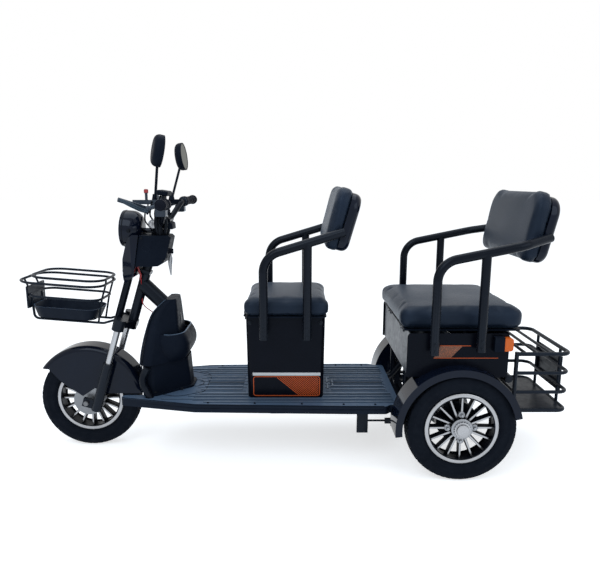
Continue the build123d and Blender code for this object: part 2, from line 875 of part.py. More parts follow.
def wedge(height, front, rear, front_half, rear_half, shoulder, corner, growth=0):
    """Plan section that is widest at its front and narrows to the rear."""
    front, rear = front - growth, rear + growth
    front_half, rear_half = front_half + growth, rear_half + growth
    half_line = [(front, front_half), (front + shoulder, front_half), (rear, rear_half)]
    outline = [(back(station), y) for station, y in half_line]
    outline += [(back(station), -y) for station, y in reversed(half_line)]
    face = make_face(Polyline(*outline, close=True))
    return Pos(0, 0, height) * fillet(face.vertices(), corner)


def make_leg_shield():
    shield = loft([wedge(*values) for values in shield_sections])
    shield += loft([wedge(*values) for values in shield_base_sections])
    base_low = shield_base_sections[0][0]
    plate = extrude(wedge(base_low, *shield_plate), shield_plate_thick)
    for side in (1, -1):
        plate -= guard_tube(side, guard_tube_radius + joint_gap)
    shield += plate
    route = [steer(0, 0, spine_start_up), at(spine_bend[0], 0, spine_bend[1])]
    route += [at(spine_foot[0], 0, spine_foot[1])]
    shield -= bent(route, spine_radius + joint_gap, 70)
    save("leg_shield", shield)

    def cup(inset, floor, lift):
        (low, *first), middle, (high, *last) = pocket_sections
        stack = [(low + floor, *first), middle, (high + lift, *last)]
        front = pocket_front_station + inset
        return loft(
            [
                section(height, front, rear - inset, half - inset, pocket_corner - inset)
                for height, rear, half in stack
            ]
        )

    around = loft([wedge(*values, growth=joint_gap) for values in shield_sections])
    save("leg_pocket", cup(0, 0, 0) - cup(pocket_wall, pocket_wall, 0.01) - around)


# -------------------------------------------------------------------- driver's seat
def hinge_leaves(station, height, wall_station, sides):
    """Barrels fixed to the box front, with the pin that the lid turns on."""
    leaves = None
    for side in sides:
        for shift in (-2, 2):
            y = side + shift * hinge_half / 2
            low, high = y - hinge_half / 2, y + hinge_half / 2
            piece = rod(at(station, low, height), at(station, high, height), hinge_radius)
            piece += block(station, wall_station, low, high, height - 16, height)
            leaves = piece if leaves is None else leaves + piece
        reach = 1.5 * hinge_half
        leaves += rod(at(station, side - reach, height), at(station, side + reach, height), hinge_pin)
    return leaves


def hinge_barrels(station, height, pan_top, sides):
    """Barrels of the lid, bored for the pin and joined to the pan."""
    barrels = None
    for side in sides:
        low, high = side - hinge_half / 2 + hinge_side_gap, side + hinge_half / 2 - hinge_side_gap
        piece = rod(at(station, low, height), at(station, high, height), hinge_radius)
        piece += block(station - hinge_radius, station + 14, low, high, pan_top - pan_thick, pan_top)
        piece += block(station - hinge_radius, station, low, high, height, pan_top)
        piece -= rod(
            at(station, low - 1, height), at(station, high + 1, height), hinge_pin + joint_gap
        )
        barrels = piece if barrels is None else barrels + piece
    return barrels


def make_driver_seat():
    def walls(inset, low):
        flare = box_flare * (low - deck_top) / (box_top_height - deck_top)
        return loft(
            [
                section(
                    low,
                    box_front_station + inset - flare,
                    box_rear_station - inset + flare,
                    box_half - inset + flare,
                    box_corner - inset,
                ),
                section(
                    box_top_height,
                    box_front_station + inset - box_flare,
                    box_rear_station - inset + box_flare,
                    box_half - inset + box_flare,
                    box_corner - inset,
                ),
            ]
        )

    box = walls(0, deck_top + joint_gap) - walls(box_wall, deck_top + joint_gap + box_wall)
    wall = box_front_station - box_flare
    axis_station = wall - hinge_reach
    axis_height = box_top_height - hinge_drop
    box += hinge_leaves(axis_station, axis_height, wall + box_wall / 2, front_hinges)
    save("front_seat_box", box)
    low = deck_top + 2 * joint_gap + box_wall
    length, width, height = battery_size
    start = box_front_station + box_wall + 8
    save("battery_pack", block(start, start + length, -width / 2, width / 2, low, low + height))
    pan_low = box_top_height + joint_gap
    pan = block(
        front_cushion_front + pan_inset,
        front_cushion_rear - pan_inset,
        -front_cushion_half + pan_inset,
        front_cushion_half - pan_inset,
        pan_low,
        pan_low + pan_thick,
    )
    pan = fillet(pan.edges().filter_by(Axis.Z), 20)
    pan_top = pan_low + pan_thick
    save("front_seat_pan", pan + hinge_barrels(axis_station, axis_height, pan_top, front_hinges))
    low = pan_low + pan_thick + joint_gap
    cushion = soft_block(
        front_cushion_front,
        front_cushion_rear,
        front_cushion_half,
        low,
        low + front_cushion_thick,
        22,
        36,
    )
    save("front_seat_cushion", cushion)


def armrest(side, half, posts, lows, bend_height, rise, tail, wall):
    """Bent rail on a front and a rear post; tail has its later (station, side) places."""
    y = side * half
    slope = tan(radians(rise))
    route = [at(posts[0], y, lows[0]), at(posts[0], y, bend_height)]
    for station, reach in tail:
        route.append(at(station, side * reach, bend_height + slope * (station - posts[0])))
    rail = bent(route, armrest_radius, arm_bend)
    top = bend_height + slope * (posts[1] - posts[0])
    rail += rod(at(posts[1], y, lows[1]), at(posts[1], y, top), armrest_radius)
    for station, low in zip(posts, lows):
        height = low + arm_stub_rise
        rail += rod(at(station, y, height), at(station, side * wall, height), arm_stub_radius)
    return rail


def make_armrests():
    height = front_post_low + arm_stub_rise - deck_top
    flare = box_flare * height / (box_top_height - deck_top)
    rear_end_half = rear_pad_half + armrest_radius + joint_gap
    for name, side in (("left", 1), ("right", -1)):
        rail = armrest(
            side,
            front_arm_half,
            (front_post_station, front_rear_post_station),
            (front_post_low, front_post_low),
            front_bend_height,
            front_rail_rise,
            [(front_rail_end_station, front_arm_half)],
            box_half + flare + joint_gap,
        )
        save(f"front_armrest_{name}", rail)
        rail = armrest(
            side,
            rear_arm_half,
            (rear_front_post_station, rear_rear_post_station),
            (rear_post_low, rear_rear_post_low),
            rear_bend_height,
            rear_rail_rise,
            [(rear_rail_turn_station, rear_arm_half), (rear_rail_end_station, rear_end_half)],
            body_half + joint_gap,
        )
        saddle = rear_rail_end_station - rail_saddle_back
        slope = tan(radians(rear_rail_rise))
        height = rear_bend_height + slope * (saddle - rear_front_post_station)
        inner = at(saddle, side * (rear_pad_half + joint_gap), height)
        rail += rod(at(saddle, side * (rear_end_half + 4), height), inner, rail_saddle_radius)
        save(f"rear_armrest_{name}", rail)


def backrest(name, station, centre, half, height, lean, corners):
    """Leaning cushion with a moulded shell behind it."""

    def cushion(thick, height):
        body = Box(thick, 2 * half, height)
        body = fillet(body.edges().filter_by(Axis.X).sort_by(Axis.Z)[-2:], corners[0])
        return fillet(body.edges().filter_by(Axis.X).sort_by(Axis.Z)[:2], corners[1])

    place = Location(tuple(at(station, 0, centre)), (0, -lean, 0))
    pad = cushion(pad_thick, height)
    pad = fillet(pad.faces().sort_by(Axis.X)[-1].edges(), pad_edge)
    save(f"{name}_backrest_pad", place * Pos(-pad_thick / 2, 0, 0) * pad)
    shell = cushion(shell_thick, height - shell_inset)
    shell = fillet(shell.faces().sort_by(Axis.X)[0].edges(), pad_round)
    shell_x = -pad_thick - joint_gap - shell_thick / 2
    save(f"{name}_backrest_shell", place * Pos(shell_x, 0, -shell_inset / 2) * shell)


# ------------------------------------------------------------------------ rear body
def arch(radius, y_low, y_high):
    start = Vector(back(rear_axle_station - fender_ahead), y_low, tyre_radius)
    end = Vector(back(rear_axle_station - fender_ahead), y_high, tyre_radius)
    return rod(start, end, radius)


def make_rear_body():
    for name, side in (("left", 1), ("right", -1)):
        low, high = sorted((side * (body_half - panel_wall), side * body_half))
        panel = block(body_front_station, body_rear_station, low, high, side_panel_low, body_top_height)
        panel = fillet(panel.edges().filter_by(Axis.Y).sort_by(Axis.Z)[-2:], 14)
        gap = fender_radius + joint_gap
        cut_low, cut_high = sorted((side * (body_half - 40), side * (body_half + 40)))
        save(f"rear_side_panel_{name}", panel - arch(gap, cut_low, cut_high))
    inner = body_half - panel_wall - joint_gap
    top = body_top_height
    front = block(
        front_panel_station, front_panel_station + panel_wall, -inner, inner, front_panel_low, top
    )
    front -= arch(fender_radius + joint_gap, fender_inner - 2, fender_outer)
    front -= arch(fender_radius + joint_gap, -fender_outer, -fender_inner + 2)
    axis_station = front_panel_station - hinge_reach
    axis_height = body_top_height - hinge_drop
    wall = front_panel_station + panel_wall / 2
    front += hinge_leaves(axis_station, axis_height, wall, rear_hinges)
    save("rear_front_panel", front)
    rear = block(body_rear_station - panel_wall, body_rear_station, -inner, inner, back_panel_low, top)
    rear -= arch(fender_radius + joint_gap, fender_inner - 2, fender_outer)
    rear -= arch(fender_radius + joint_gap, -fender_outer, -fender_inner + 2)
    save("rear_back_panel", rear)
    pan_low = body_top_height + joint_gap
    pan = block(
        bench_front + 14,
        bench_rear - 8,
        -bench_half + pan_inset,
        bench_half - pan_inset,
        pan_low,
        pan_low + pan_thick,
    )
    pan = fillet(pan.edges().filter_by(Axis.Z), 20)
    pan_top = pan_low + pan_thick
    save("rear_seat_pan", pan + hinge_barrels(axis_station, axis_height, pan_top, rear_hinges))
    low = pan_low + pan_thick + joint_gap
    cushion = soft_block(bench_front, bench_rear, bench_half, low, low + bench_thick, 26, 44)
    save("rear_seat_cushion", cushion)


def make_fenders():
    for name, side in (("left", 1), ("right", -1)):
        low, high = sorted((side * fender_inner, side * fender_outer))
        crown = arch(fender_radius, low, high) - arch(fender_radius - fender_wall, low, high)
        lip_low, lip_high = sorted((side * (fender_outer - fender_wall), side * fender_outer))
        crown += arch(fender_radius - 1, lip_low, lip_high) - arch(
            fender_radius - fender_lip, lip_low, lip_high
        )
        cheek_low, cheek_high = sorted((side * fender_inner, side * (fender_inner + fender_wall)))
        crown += arch(fender_radius - 1, cheek_low, cheek_high) - arch(
            fender_radius - 80, cheek_low, cheek_high
        )
        reach = 2 * fender_radius
        front = (reach * cos(radians(fender_low_front)), reach * sin(radians(fender_low_front)))
        rear = (-reach * cos(radians(fender_low_rear)), reach * sin(radians(fender_low_rear)))
        wedge = Polyline((0, 0), front, (reach, reach), (-reach, reach), rear, close=True)
        place = Pos(back(rear_axle_station - fender_ahead), 0, tyre_radius)
        keep = place * extrude(Plane.XZ * make_face(wedge), 2 * fender_outer, both=True)
        save(f"rear_fender_{name}", crown & keep)


def make_rear_axle():
    y = wheel_centre_y - hub_half
    axle = rod(
        at(rear_axle_station, -y + 8, tyre_radius),
        at(rear_axle_station, y - 8, tyre_radius),
        axle_tube_radius,
    )
    axle += rod(
        at(rear_axle_station, -motor_width / 2 - 8, tyre_radius),
        at(rear_axle_station, -8, tyre_radius),
        motor_radius - 16,
    )
    for side in (1, -1):
        axle += rod(
            at(rear_axle_station, side * (y - 34), tyre_radius),
            at(rear_axle_station, side * (y - running_gap), tyre_radius),
            drum_radius,
        )
        axle += rod(
            at(rear_axle_station, side * (y - 10), tyre_radius),
            at(rear_axle_station, side * (wheel_centre_y + hub_half - 6), tyre_radius),
            stub_radius,
        )
        pad_y = side * rail_half_spacing
        axle += block(
            rear_axle_station - 26,
            rear_axle_station + 26,
            pad_y - 24,
            pad_y + 24,
            tyre_radius,
            tyre_radius + axle_tube_radius + 6,
        )
        axle += rod(
            at(arm_pivot_station + joint_gap, side * 190, arm_height),
            at(rear_axle_station, side * 190, arm_height),
            12,
        )
    save("rear_axle", axle)
    motor = ring_rod(
        at(rear_axle_station, -8 + joint_gap, tyre_radius),
        at(rear_axle_station, motor_width - 8, tyre_radius),
        motor_radius,
        axle_tube_radius + joint_gap,
    )
    save("drive_motor", motor)

    def shock(side):
        low = tyre_radius + axle_tube_radius + 6 + joint_gap
        high = kick_height - rail_radius - joint_gap
        y = side * rail_half_spacing
        return rod(at(rear_axle_station, y, low), at(rear_axle_station, y, high), shock_radius)

    save("rear_shocks", both(shock))


def make_lamps():
    def housing(side):
        low, high = sorted((side * (body_half + joint_gap), side * (body_half + 22)))
        return block(1574, 1610, low, high, 494, 548)

    def lens(side):
        low, high = sorted((side * (body_half + joint_gap), side * (body_half + 22)))
        shape = block(1610 + joint_gap, 1641, low, high, 496, 545)
        return fillet(shape.edges().filter_by(Axis.Y).sort_by(Axis.X)[:2], 10)

    save("tail_lamp_housings", both(housing))
    save("tail_lamp_lenses", both(lens))


def make_linkage():
    y = rail_half_spacing + rail_radius + joint_gap
    link = block(1098, 1142, y, y + 8, 118, rail_height + 10)
    link += rod(at(1140, y + 4, 168), at(1240, y + 4, 168), 4)
    link += block(1208, 1236, y, y + 12, 158, 178)
    link += block(1232, 1252, y, y + 8, 146, rail_height + 10)
    save("brake_linkage", link)


# -------------------------------------------------------------------------- baskets
def make_rear_basket():
    top = rack_heights[0]
    low = rack_floor_height
    corners = [(rack_front_station, rack_half), (rack_rear_station, rack_half)]
    corners += [(rack_rear_station, -rack_half), (rack_front_station, -rack_half)]
    rack = bent([at(station, y, top) for station, y in corners], rack_radius, 38)
    for height in (*rack_heights[1:], low):
        rack += bent([at(station, y, height) for station, y in corners], rack_radius - 1, 38)
    for side in (1, -1):
        y = side * rack_half
        post_low = at(rack_front_station, y, low - 8)
        rack += rod(post_low, at(rack_front_station, y, top + 8), rack_radius)
        y = side * rack_post_half
        rack += rod(at(rack_rear_station, y, low), at(rack_rear_station, y, top), rack_radius - 2)
    across = at(rack_front_station, rack_half, low) - at(rack_front_station, -rack_half, low)
    for height in (low, rack_heights[2]):
        start = at(rack_front_station, -rack_half, height)
        rack += rod(start, start + across, rack_radius - 2)
    for station in rack_bars:
        rack += rod(at(station, -rack_half, top), at(station, rack_half, top), rack_radius - 2)
    floor_low, floor_high = rack_front_station, rack_rear_station
    rack += block(floor_low, floor_high, -rack_half + 20, rack_half - 20, low - 2, low + 2)
    plate_front = rack_rear_station + rack_radius - 3
    rack += block(
        plate_front,
        rear_reach,
        -rear_plate_half,
        rear_plate_half,
        rear_plate_low,
        rear_plate_high,
    )
    for side in (1, -1):
        y = side * rear_plate_holes / 2
        rack -= rod(
            at(rack_rear_station - 1, y, rear_plate_hole_height),
            at(rear_reach + 4, y, rear_plate_hole_height),
            plate_hole_radius,
        )
    save("rear_basket", rack)


def rail_loop(length, width, corner, radius):
    """Closed wire loop in a level plane, made of straight runs and quarter bends."""
    x, y = length / 2, width / 2
    loop = None
    for sx, sy in ((1, 1), (-1, 1), (-1, -1), (1, -1)):
        middle = (sx * (x - corner), sy * (y - corner))
        ring = Torus(corner, radius)
        quarter = Pos(sx * corner, sy * corner, 0) * Box(2 * corner, 2 * corner, 4 * radius)
        bend = Pos(*middle, 0) * (ring & quarter)
        loop = bend if loop is None else loop + bend
    for sx in (1, -1):
        loop += rod((sx * x, -(y - corner), 0), (sx * x, y - corner, 0), radius)
    for sy in (1, -1):
        loop += rod((-(x - corner), sy * y, 0), (x - corner, sy * y, 0), radius)
    return loop


def make_front_basket():
    place = Location(tuple(at(basket_station, 0, basket_height)), (0, -basket_tilt, 0))
    basket = None
    for ahead, up, length, width, corner in basket_rails:
        loop = Pos(ahead, 0, up) * rail_loop(length, width, corner, wire_radius)
        basket = loop if basket is None else basket + loop
    names = ("rim", "belly", "waist")
    outlines = dict(zip(names, basket_rails))
    length, width, depth = tray_size
    cross_height = tray_top - depth - wire_radius - joint_gap
    strut_height = cross_height - 2 * wire_radius + 1
    for side in (1, -1):
        for end in (1, -1):
            places = [
                (outlines[name][0] + end * outlines[name][2] / 2, outlines[name][1])
                for name in names
            ]
            if end == -1:
                places.append((-length / 2 + 3, strut_height))
            path = [(x, side * basket_strut_half, z) for x, z in places]
            basket += joined([rod(a, b, wire_radius - 1) for a, b in zip(path, path[1:])])
    for x in (-length / 4, length / 4):
        start = (x, -basket_strut_half, cross_height)
        basket += rod(start, (x, basket_strut_half, cross_height), wire_radius)
    basket = place * basket
    clip_front = leg_offset + 14 + joint_gap
    for side in (1, -1):
        y = side * basket_strut_half
        waist = outlines["waist"]
        places = [(waist[0] + waist[2] / 2, waist[1]), (length / 2 - 4, strut_height)]
        places.append((basket_strut_rear, strut_height))
        route = [(place * Pos(x, y, z)).position for x, z in places]
        route.append(steer(clip_front + wire_radius, y, clamp_high - 4))
        basket += bent(route, wire_radius, 20)
        clip_low = steer(clip_front, y, clamp_high - 4)
        clip_high = steer(clip_front + 12, y, clamp_high - 4)
        basket += rod(clip_low, clip_high, basket_clip_radius)
    plate_back = front_plate_x - plate_thick - wire_radius
    middle = (front_plate_x + plate_back) / 2, 0, front_plate_hole_height
    size = front_plate_x - plate_back, 2 * front_plate_half, front_plate_high - front_plate_low
    basket += Pos(*middle) * Box(*size)
    for side in (1, -1):
        y = side * front_plate_holes / 2
        start = Vector(plate_back - 2, y, front_plate_hole_height)
        basket -= rod(start, start + Vector(2 * wire_radius + 4, 0, 0), plate_hole_radius)
    save("front_basket", basket)
    tray = loft(
        [
            Pos(0, 0, tray_top - depth)
            * RectangleRounded(length - 2 * tray_taper, width - 2 * tray_taper, tray_corner - 12),
            Pos(0, 0, tray_top) * RectangleRounded(length, width, tray_corner),
        ]
    )
    wall = tray_wall
    inner = loft(
        [
            Pos(0, 0, tray_top - depth + wall)
            * RectangleRounded(
                length - 2 * tray_taper - 2 * wall, width - 2 * tray_taper - 2 * wall, tray_corner - 14
            ),
            Pos(0, 0, tray_top + 0.01)
            * RectangleRounded(length - 2 * wall, width - 2 * wall, tray_corner - wall),
        ]
    )
    save("front_basket_tray", place * (tray - inner))


# ---------------------------------------------------------------------------- build
make_wheels()
make_fork()
make_front_fender()
make_front_drum()
make_handlebar()
make_headlight()
make_covers()
make_frame()
make_deck()
make_leg_shield()
make_driver_seat()
make_armrests()
front_size = (front_pad_half, front_pad_height, front_pad_lean, front_pad_corners)
backrest("front", front_pad_station, front_pad_centre, *front_size)
rear_size = (rear_pad_half, rear_pad_height, rear_pad_lean, rear_pad_corners)
backrest("rear", rear_pad_station, rear_pad_centre, *rear_size)
make_rear_body()
make_fenders()
make_rear_axle()
make_lamps()
make_linkage()
make_rear_basket()
make_front_basket()
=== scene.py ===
import json
from math import cos, pi, radians, sin

import bmesh
import bpy
from mathutils import Matrix, Vector


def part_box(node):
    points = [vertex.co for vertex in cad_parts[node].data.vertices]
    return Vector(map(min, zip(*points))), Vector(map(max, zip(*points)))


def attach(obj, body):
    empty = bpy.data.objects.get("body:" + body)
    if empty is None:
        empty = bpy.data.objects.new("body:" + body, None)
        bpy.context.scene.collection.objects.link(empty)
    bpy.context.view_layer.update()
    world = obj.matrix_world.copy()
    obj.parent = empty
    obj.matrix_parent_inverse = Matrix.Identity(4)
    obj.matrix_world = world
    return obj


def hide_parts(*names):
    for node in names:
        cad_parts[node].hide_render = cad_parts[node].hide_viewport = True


# Metres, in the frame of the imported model: +X forward, +Y the vehicle's left, +Z up.
# A "station" is a distance behind the front axle, in millimetres.
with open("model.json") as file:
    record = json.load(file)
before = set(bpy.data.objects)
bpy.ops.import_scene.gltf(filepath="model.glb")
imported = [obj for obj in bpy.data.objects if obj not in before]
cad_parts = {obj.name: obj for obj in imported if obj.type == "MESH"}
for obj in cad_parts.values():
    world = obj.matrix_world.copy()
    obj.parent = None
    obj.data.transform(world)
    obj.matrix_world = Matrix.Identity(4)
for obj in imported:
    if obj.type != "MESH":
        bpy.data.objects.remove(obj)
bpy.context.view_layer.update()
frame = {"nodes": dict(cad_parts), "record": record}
record = frame["record"]


def middle(node):
    low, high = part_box(node)
    return (Vector(low) + Vector(high)) / 2


front_axle = middle("front_tyre")


def back(station):
    """X of a place this far behind the front axle."""
    return front_axle.x - station / 1000


def at(station, side, height):
    """A place in metres from a station, a distance to the left and a height in millimetres."""
    return Vector((back(station), side / 1000, height / 1000))


# --------------------------------------------------------------------------- camera
camera_sensor = 36
camera_lens = 34.056
camera_place = at(861, 2277, 1097)
camera_pitch = 0.19344
camera_yaw = 0.00551
camera_roll = 0.0018


def make_camera():
    data = bpy.data.cameras.new("camera")
    data.sensor_width = camera_sensor
    data.lens = camera_lens
    camera = bpy.data.objects.new("camera", data)
    level_x, level_y = -sin(camera_yaw), -cos(camera_yaw)
    forward = Vector(
        (level_x * cos(camera_pitch), level_y * cos(camera_pitch), -sin(camera_pitch))
    )
    level = Vector((level_y, -level_x, 0))
    above = level.cross(forward)
    right = level * cos(camera_roll) + above * sin(camera_roll)
    up = above * cos(camera_roll) - level * sin(camera_roll)
    turn = Matrix((right, up, -forward)).transposed().to_4x4()
    camera.matrix_world = Matrix.Translation(camera_place) @ turn
    bpy.context.scene.collection.objects.link(camera)
    bpy.context.scene.camera = camera


make_camera()


# ------------------------------------------------------------------------ materials
def node_tree(name):
    material = bpy.data.materials.new(name)
    material.use_nodes = True
    tree = material.node_tree
    return material, tree, tree.nodes["Principled BSDF"]


def noise(tree, scale, detail=4.0, roughness=0.55):
    coordinates = tree.nodes.new("ShaderNodeTexCoord")
    texture = tree.nodes.new("ShaderNodeTexNoise")
    texture.inputs["Scale"].default_value = scale
    texture.inputs["Detail"].default_value = detail
    texture.inputs["Roughness"].default_value = roughness
    tree.links.new(coordinates.outputs["Object"], texture.inputs["Vector"])
    return texture.outputs["Fac"]


def cells(tree, scale, feature="DISTANCE_TO_EDGE"):
    coordinates = tree.nodes.new("ShaderNodeTexCoord")
    texture = tree.nodes.new("ShaderNodeTexVoronoi")
    texture.feature = feature
    texture.inputs["Scale"].default_value = scale
    tree.links.new(coordinates.outputs["Object"], texture.inputs["Vector"])
    return texture.outputs["Distance"]


def ramp(tree, source, stops):
    band = tree.nodes.new("ShaderNodeValToRGB")
    elements = band.color_ramp.elements
    while len(elements) < len(stops):
        elements.new(0.5)
    for element, (place, colour) in zip(elements, stops):
        element.position = place
        element.color = (*colour, 1.0)
    tree.links.new(source, band.inputs["Fac"])
    return band.outputs["Color"]


def grey(value):
    return (value, value, value)


def bump(tree, shader, height, strength, distance=0.001):
    node = tree.nodes.new("ShaderNodeBump")
    node.inputs["Strength"].default_value = strength
    node.inputs["Distance"].default_value = distance
    tree.links.new(height, node.inputs["Height"])
    previous = shader.inputs["Normal"]
    if previous.is_linked:
        tree.links.new(previous.links[0].from_socket, node.inputs["Normal"])
    tree.links.new(node.outputs["Normal"], shader.inputs["Normal"])


def mixed(tree, share, tone, colour):
    """Blends a tone into one colour, by a share from 0 to 1."""
    mix = tree.nodes.new("ShaderNodeMix")
    mix.data_type = "RGBA"
    tree.links.new(share, mix.inputs["Factor"])
    tree.links.new(tone, mix.inputs["A"])
    mix.inputs["B"].default_value = (*colour, 1.0)
    return mix.outputs["Result"]


def worn_edges(tree, tone, wear):
    """Lightens a colour where the surface turns sharply, as handling wears it."""
    geometry = tree.nodes.new("ShaderNodeNewGeometry")
    edge = ramp(tree, geometry.outputs["Pointiness"], [(0.52, grey(0)), (0.6, grey(0.5))])
    return mixed(tree, edge, tone, wear)


def painted_top_reflection(tree, tone, colour):
    """Lightens the faces that look up, as a painted reflection of the sky on them."""
    geometry = tree.nodes.new("ShaderNodeNewGeometry")
    parts = tree.nodes.new("ShaderNodeSeparateXYZ")
    tree.links.new(geometry.outputs["Normal"], parts.inputs["Vector"])
    share = ramp(tree, parts.outputs["Z"], [(0.55, grey(0)), (0.95, grey(1))])
    return mixed(tree, share, tone, colour)


def surface(
    name,
    colour,
    roughness,
    spread=0.15,
    metallic=0.0,
    coat=0.0,
    grain=400,
    relief=0.1,
    patch=9,
    specular=0.5,
    wear=None,
    top=None,
):
    """A moulded, painted or metal finish: soft patches of colour and roughness, and a fine grain."""
    material, tree, shader = node_tree(name)
    darker = tuple(channel * (1 - spread) for channel in colour)
    lighter = tuple(min(1.0, channel * (1 + spread)) for channel in colour)
    tone = ramp(tree, noise(tree, patch, 3.0), [(0.3, darker), (0.7, lighter)])
    if wear is not None:
        tone = worn_edges(tree, tone, wear)
    # top: a lighter colour on upward faces, a painted reflection of the sky.
    if top is not None:
        tone = painted_top_reflection(tree, tone, top)
    tree.links.new(tone, shader.inputs["Base Color"])
    low, high = max(0.02, roughness * 0.8), min(1.0, roughness * 1.25)
    scuffs = noise(tree, patch * 4.3, 5.0, 0.7)
    shine = ramp(tree, scuffs, [(0.35, grey(low)), (0.75, grey(high))])
    tree.links.new(shine, shader.inputs["Roughness"])
    shader.inputs["Metallic"].default_value = metallic
    shader.inputs["Specular IOR Level"].default_value = specular
    # Dark non-metal finishes get a blue specular tint, a painted reflection of blue sky.
    if metallic < 0.5 and max(colour) < 0.1:
        shader.inputs["Specular Tint"].default_value = (0.66, 0.8, 1.0, 1.0)
    shader.inputs["Coat Weight"].default_value = coat
    shader.inputs["Coat Roughness"].default_value = 0.06
    bump(tree, shader, noise(tree, grain, 2.0), relief, 0.0004)
    return material


def leather(name, colour):
    """Vinyl upholstery: pebbled grain, soft creases and a light sheen."""
    material, tree, shader = node_tree(name)
    darker = tuple(channel * 0.78 for channel in colour)
    lighter = tuple(channel * 1.3 for channel in colour)
    tone = ramp(tree, noise(tree, 4, 2.0), [(0.3, darker), (0.72, lighter)])
    tree.links.new(tone, shader.inputs["Base Color"])
    shine = ramp(tree, noise(tree, 6, 2.0), [(0.3, grey(0.4)), (0.75, grey(0.47))])
    tree.links.new(shine, shader.inputs["Roughness"])
    shader.inputs["Specular IOR Level"].default_value = 0.2
    # The blue specular and sheen tints are a painted reflection of blue sky.
    shader.inputs["Specular Tint"].default_value = (0.62, 0.78, 1.0, 1.0)
    shader.inputs["Sheen Weight"].default_value = 0.08
    shader.inputs["Sheen Tint"].default_value = (0.5, 0.74, 1.0, 1.0)
    shader.inputs["Sheen Roughness"].default_value = 0.4
    pebbles = ramp(tree, cells(tree, 420), [(0.0, grey(0)), (0.16, grey(1))])
    bump(tree, shader, pebbles, 0.22, 0.0004)
    bump(tree, shader, noise(tree, 9, 1.0), 0.03, 0.002)
    return material


def dotted_film(name):
    """Printed film with a pattern of orange dots, as on the rear decal."""
    material, tree, shader = node_tree(name)
    orange, ground = (0.42, 0.095, 0.025), (0.1, 0.035, 0.014)
    dots = ramp(tree, cells(tree, 330, "F1"), [(0.3, orange), (0.42, ground)])
    tree.links.new(dots, shader.inputs["Base Color"])
    shine = ramp(tree, noise(tree, 60, 3.0), [(0.3, grey(0.3)), (0.7, grey(0.45))])
    tree.links.new(shine, shader.inputs["Roughness"])
    return material


black = (0.0026, 0.0038, 0.0072)
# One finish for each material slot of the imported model.
finish = {
    "frame_paint": surface(
        "frame_paint", black, 0.28, coat=0.05, grain=900, specular=0.1, wear=(0.02, 0.024, 0.032)
    ),
    "rack_paint": surface(
        "rack_paint",
        (0.005, 0.0078, 0.0135),
        0.38,
        coat=0.02,
        grain=900,
        specular=0.14,
        wear=(0.03, 0.034, 0.042),
    ),
    "gloss_black": surface(
        "gloss_black", (0.003, 0.0052, 0.013), 0.12, coat=0.16, grain=60, relief=0.02, specular=0.1
    ),
    "box_black": surface(
        "box_black", (0.0026, 0.003, 0.0056), 0.3, coat=0.01, grain=700, relief=0.06, specular=0.07
    ),
    "plain_black": surface(
        "plain_black", (0.0034, 0.0054, 0.0108), 0.55, grain=900, relief=0.35, specular=0.08
    ),
    "grey_panel": surface("grey_panel", (0.034, 0.038, 0.044), 0.45, grain=800, relief=0.2),
    "rubber": surface("rubber", (0.0042, 0.0046, 0.0088), 0.6, grain=500, relief=0.4, specular=0.1),
    "tyre": surface("tyre", (0.0042, 0.0056, 0.0092), 0.7, grain=350, relief=0.35, specular=0.08),
    "chrome": surface("chrome", (0.4, 0.41, 0.43), 0.3, 0.06, metallic=0.9, relief=0.03),
    "steel": surface("steel", (0.16, 0.165, 0.175), 0.42, 0.2, metallic=0.9, relief=0.2),
    "fork_metal": surface("fork_metal", (0.2, 0.21, 0.225), 0.42, 0.12, metallic=0.85),
    "lever_metal": surface("lever_metal", (0.014, 0.02, 0.03), 0.4, metallic=0.2, coat=0.15),
    "rim_black": surface("rim_black", (0.0028, 0.0036, 0.0062), 0.4, coat=0.02, grain=800, specular=0.09),
    "amber_lens": surface(
        "amber_lens", (0.62, 0.11, 0.006), 0.25, coat=0.2, grain=260, relief=0.3, specular=0.2
    ),
    "seat_leather": leather("seat_leather", (0.006, 0.0108, 0.0215)),
    # The mirror glass is a dark olive metal: a painted reflection of dark surroundings.
    "mirror": surface("mirror", (0.06, 0.066, 0.055), 0.08, 0.05, metallic=1.0, relief=0.0),
    "lamp_glass": surface("lamp_glass", (0.35, 0.38, 0.43), 0.08, coat=1.0, relief=0.1),
}
# Further finishes, for added trim and for faces with a painted sky reflection on top.
extra = {
    "machined": surface(
        "machined", (0.36, 0.365, 0.38), 0.34, 0.08, metallic=0.95, grain=1200, relief=0.25
    ),
    "cast_silver": surface(
        "cast_silver", (0.3, 0.31, 0.33), 0.42, 0.15, metallic=0.8, grain=500, relief=0.3
    ),
    "orange_film": surface("orange_film", (0.5, 0.085, 0.018), 0.4, 0.12, grain=900, specular=0.2),
    "white_film": surface("white_film", (0.55, 0.55, 0.55), 0.45, 0.06, grain=900, specular=0.2),
    "dot_film": dotted_film("dot_film"),
    # Darker than plain_black: painted shade in the moulded grooves.
    "groove_shade": surface("groove_shade", (0.002, 0.0025, 0.004), 0.6, grain=900, specular=0.1),
    # The deck's top colour is a painted reflection of the sky on upward faces.
    "deck_top": surface(
        "deck_top",
        (0.0045, 0.0072, 0.014),
        0.5,
        grain=700,
        relief=0.3,
        specular=0.12,
        top=(0.064, 0.1, 0.156),
    ),
    # Lighter than deck_top: a painted highlight on ribs, lips and moulded edges, with the painted sky
    # reflection on top.
    "deck_rib_highlight": surface(
        "deck_rib_highlight",
        (0.0065, 0.01, 0.018),
        0.42,
        grain=700,
        relief=0.2,
        specular=0.2,
        top=(0.092, 0.14, 0.205),
    ),
    "red_lead": surface("red_lead", (0.3, 0.008, 0.012), 0.4, coat=0.1, grain=600),
    "cable_black": surface("cable_black", (0.004, 0.0045, 0.0065), 0.5, grain=700, specular=0.15),
    "lever_blue": surface(
        "lever_blue", (0.025, 0.042, 0.062), 0.42, metallic=0.3, coat=0.1, grain=700
    ),
}


# --------------------------------------------------------------------- mesh helpers
def shade_smooth(mesh):
    for polygon in mesh.polygons:
        polygon.use_smooth = True


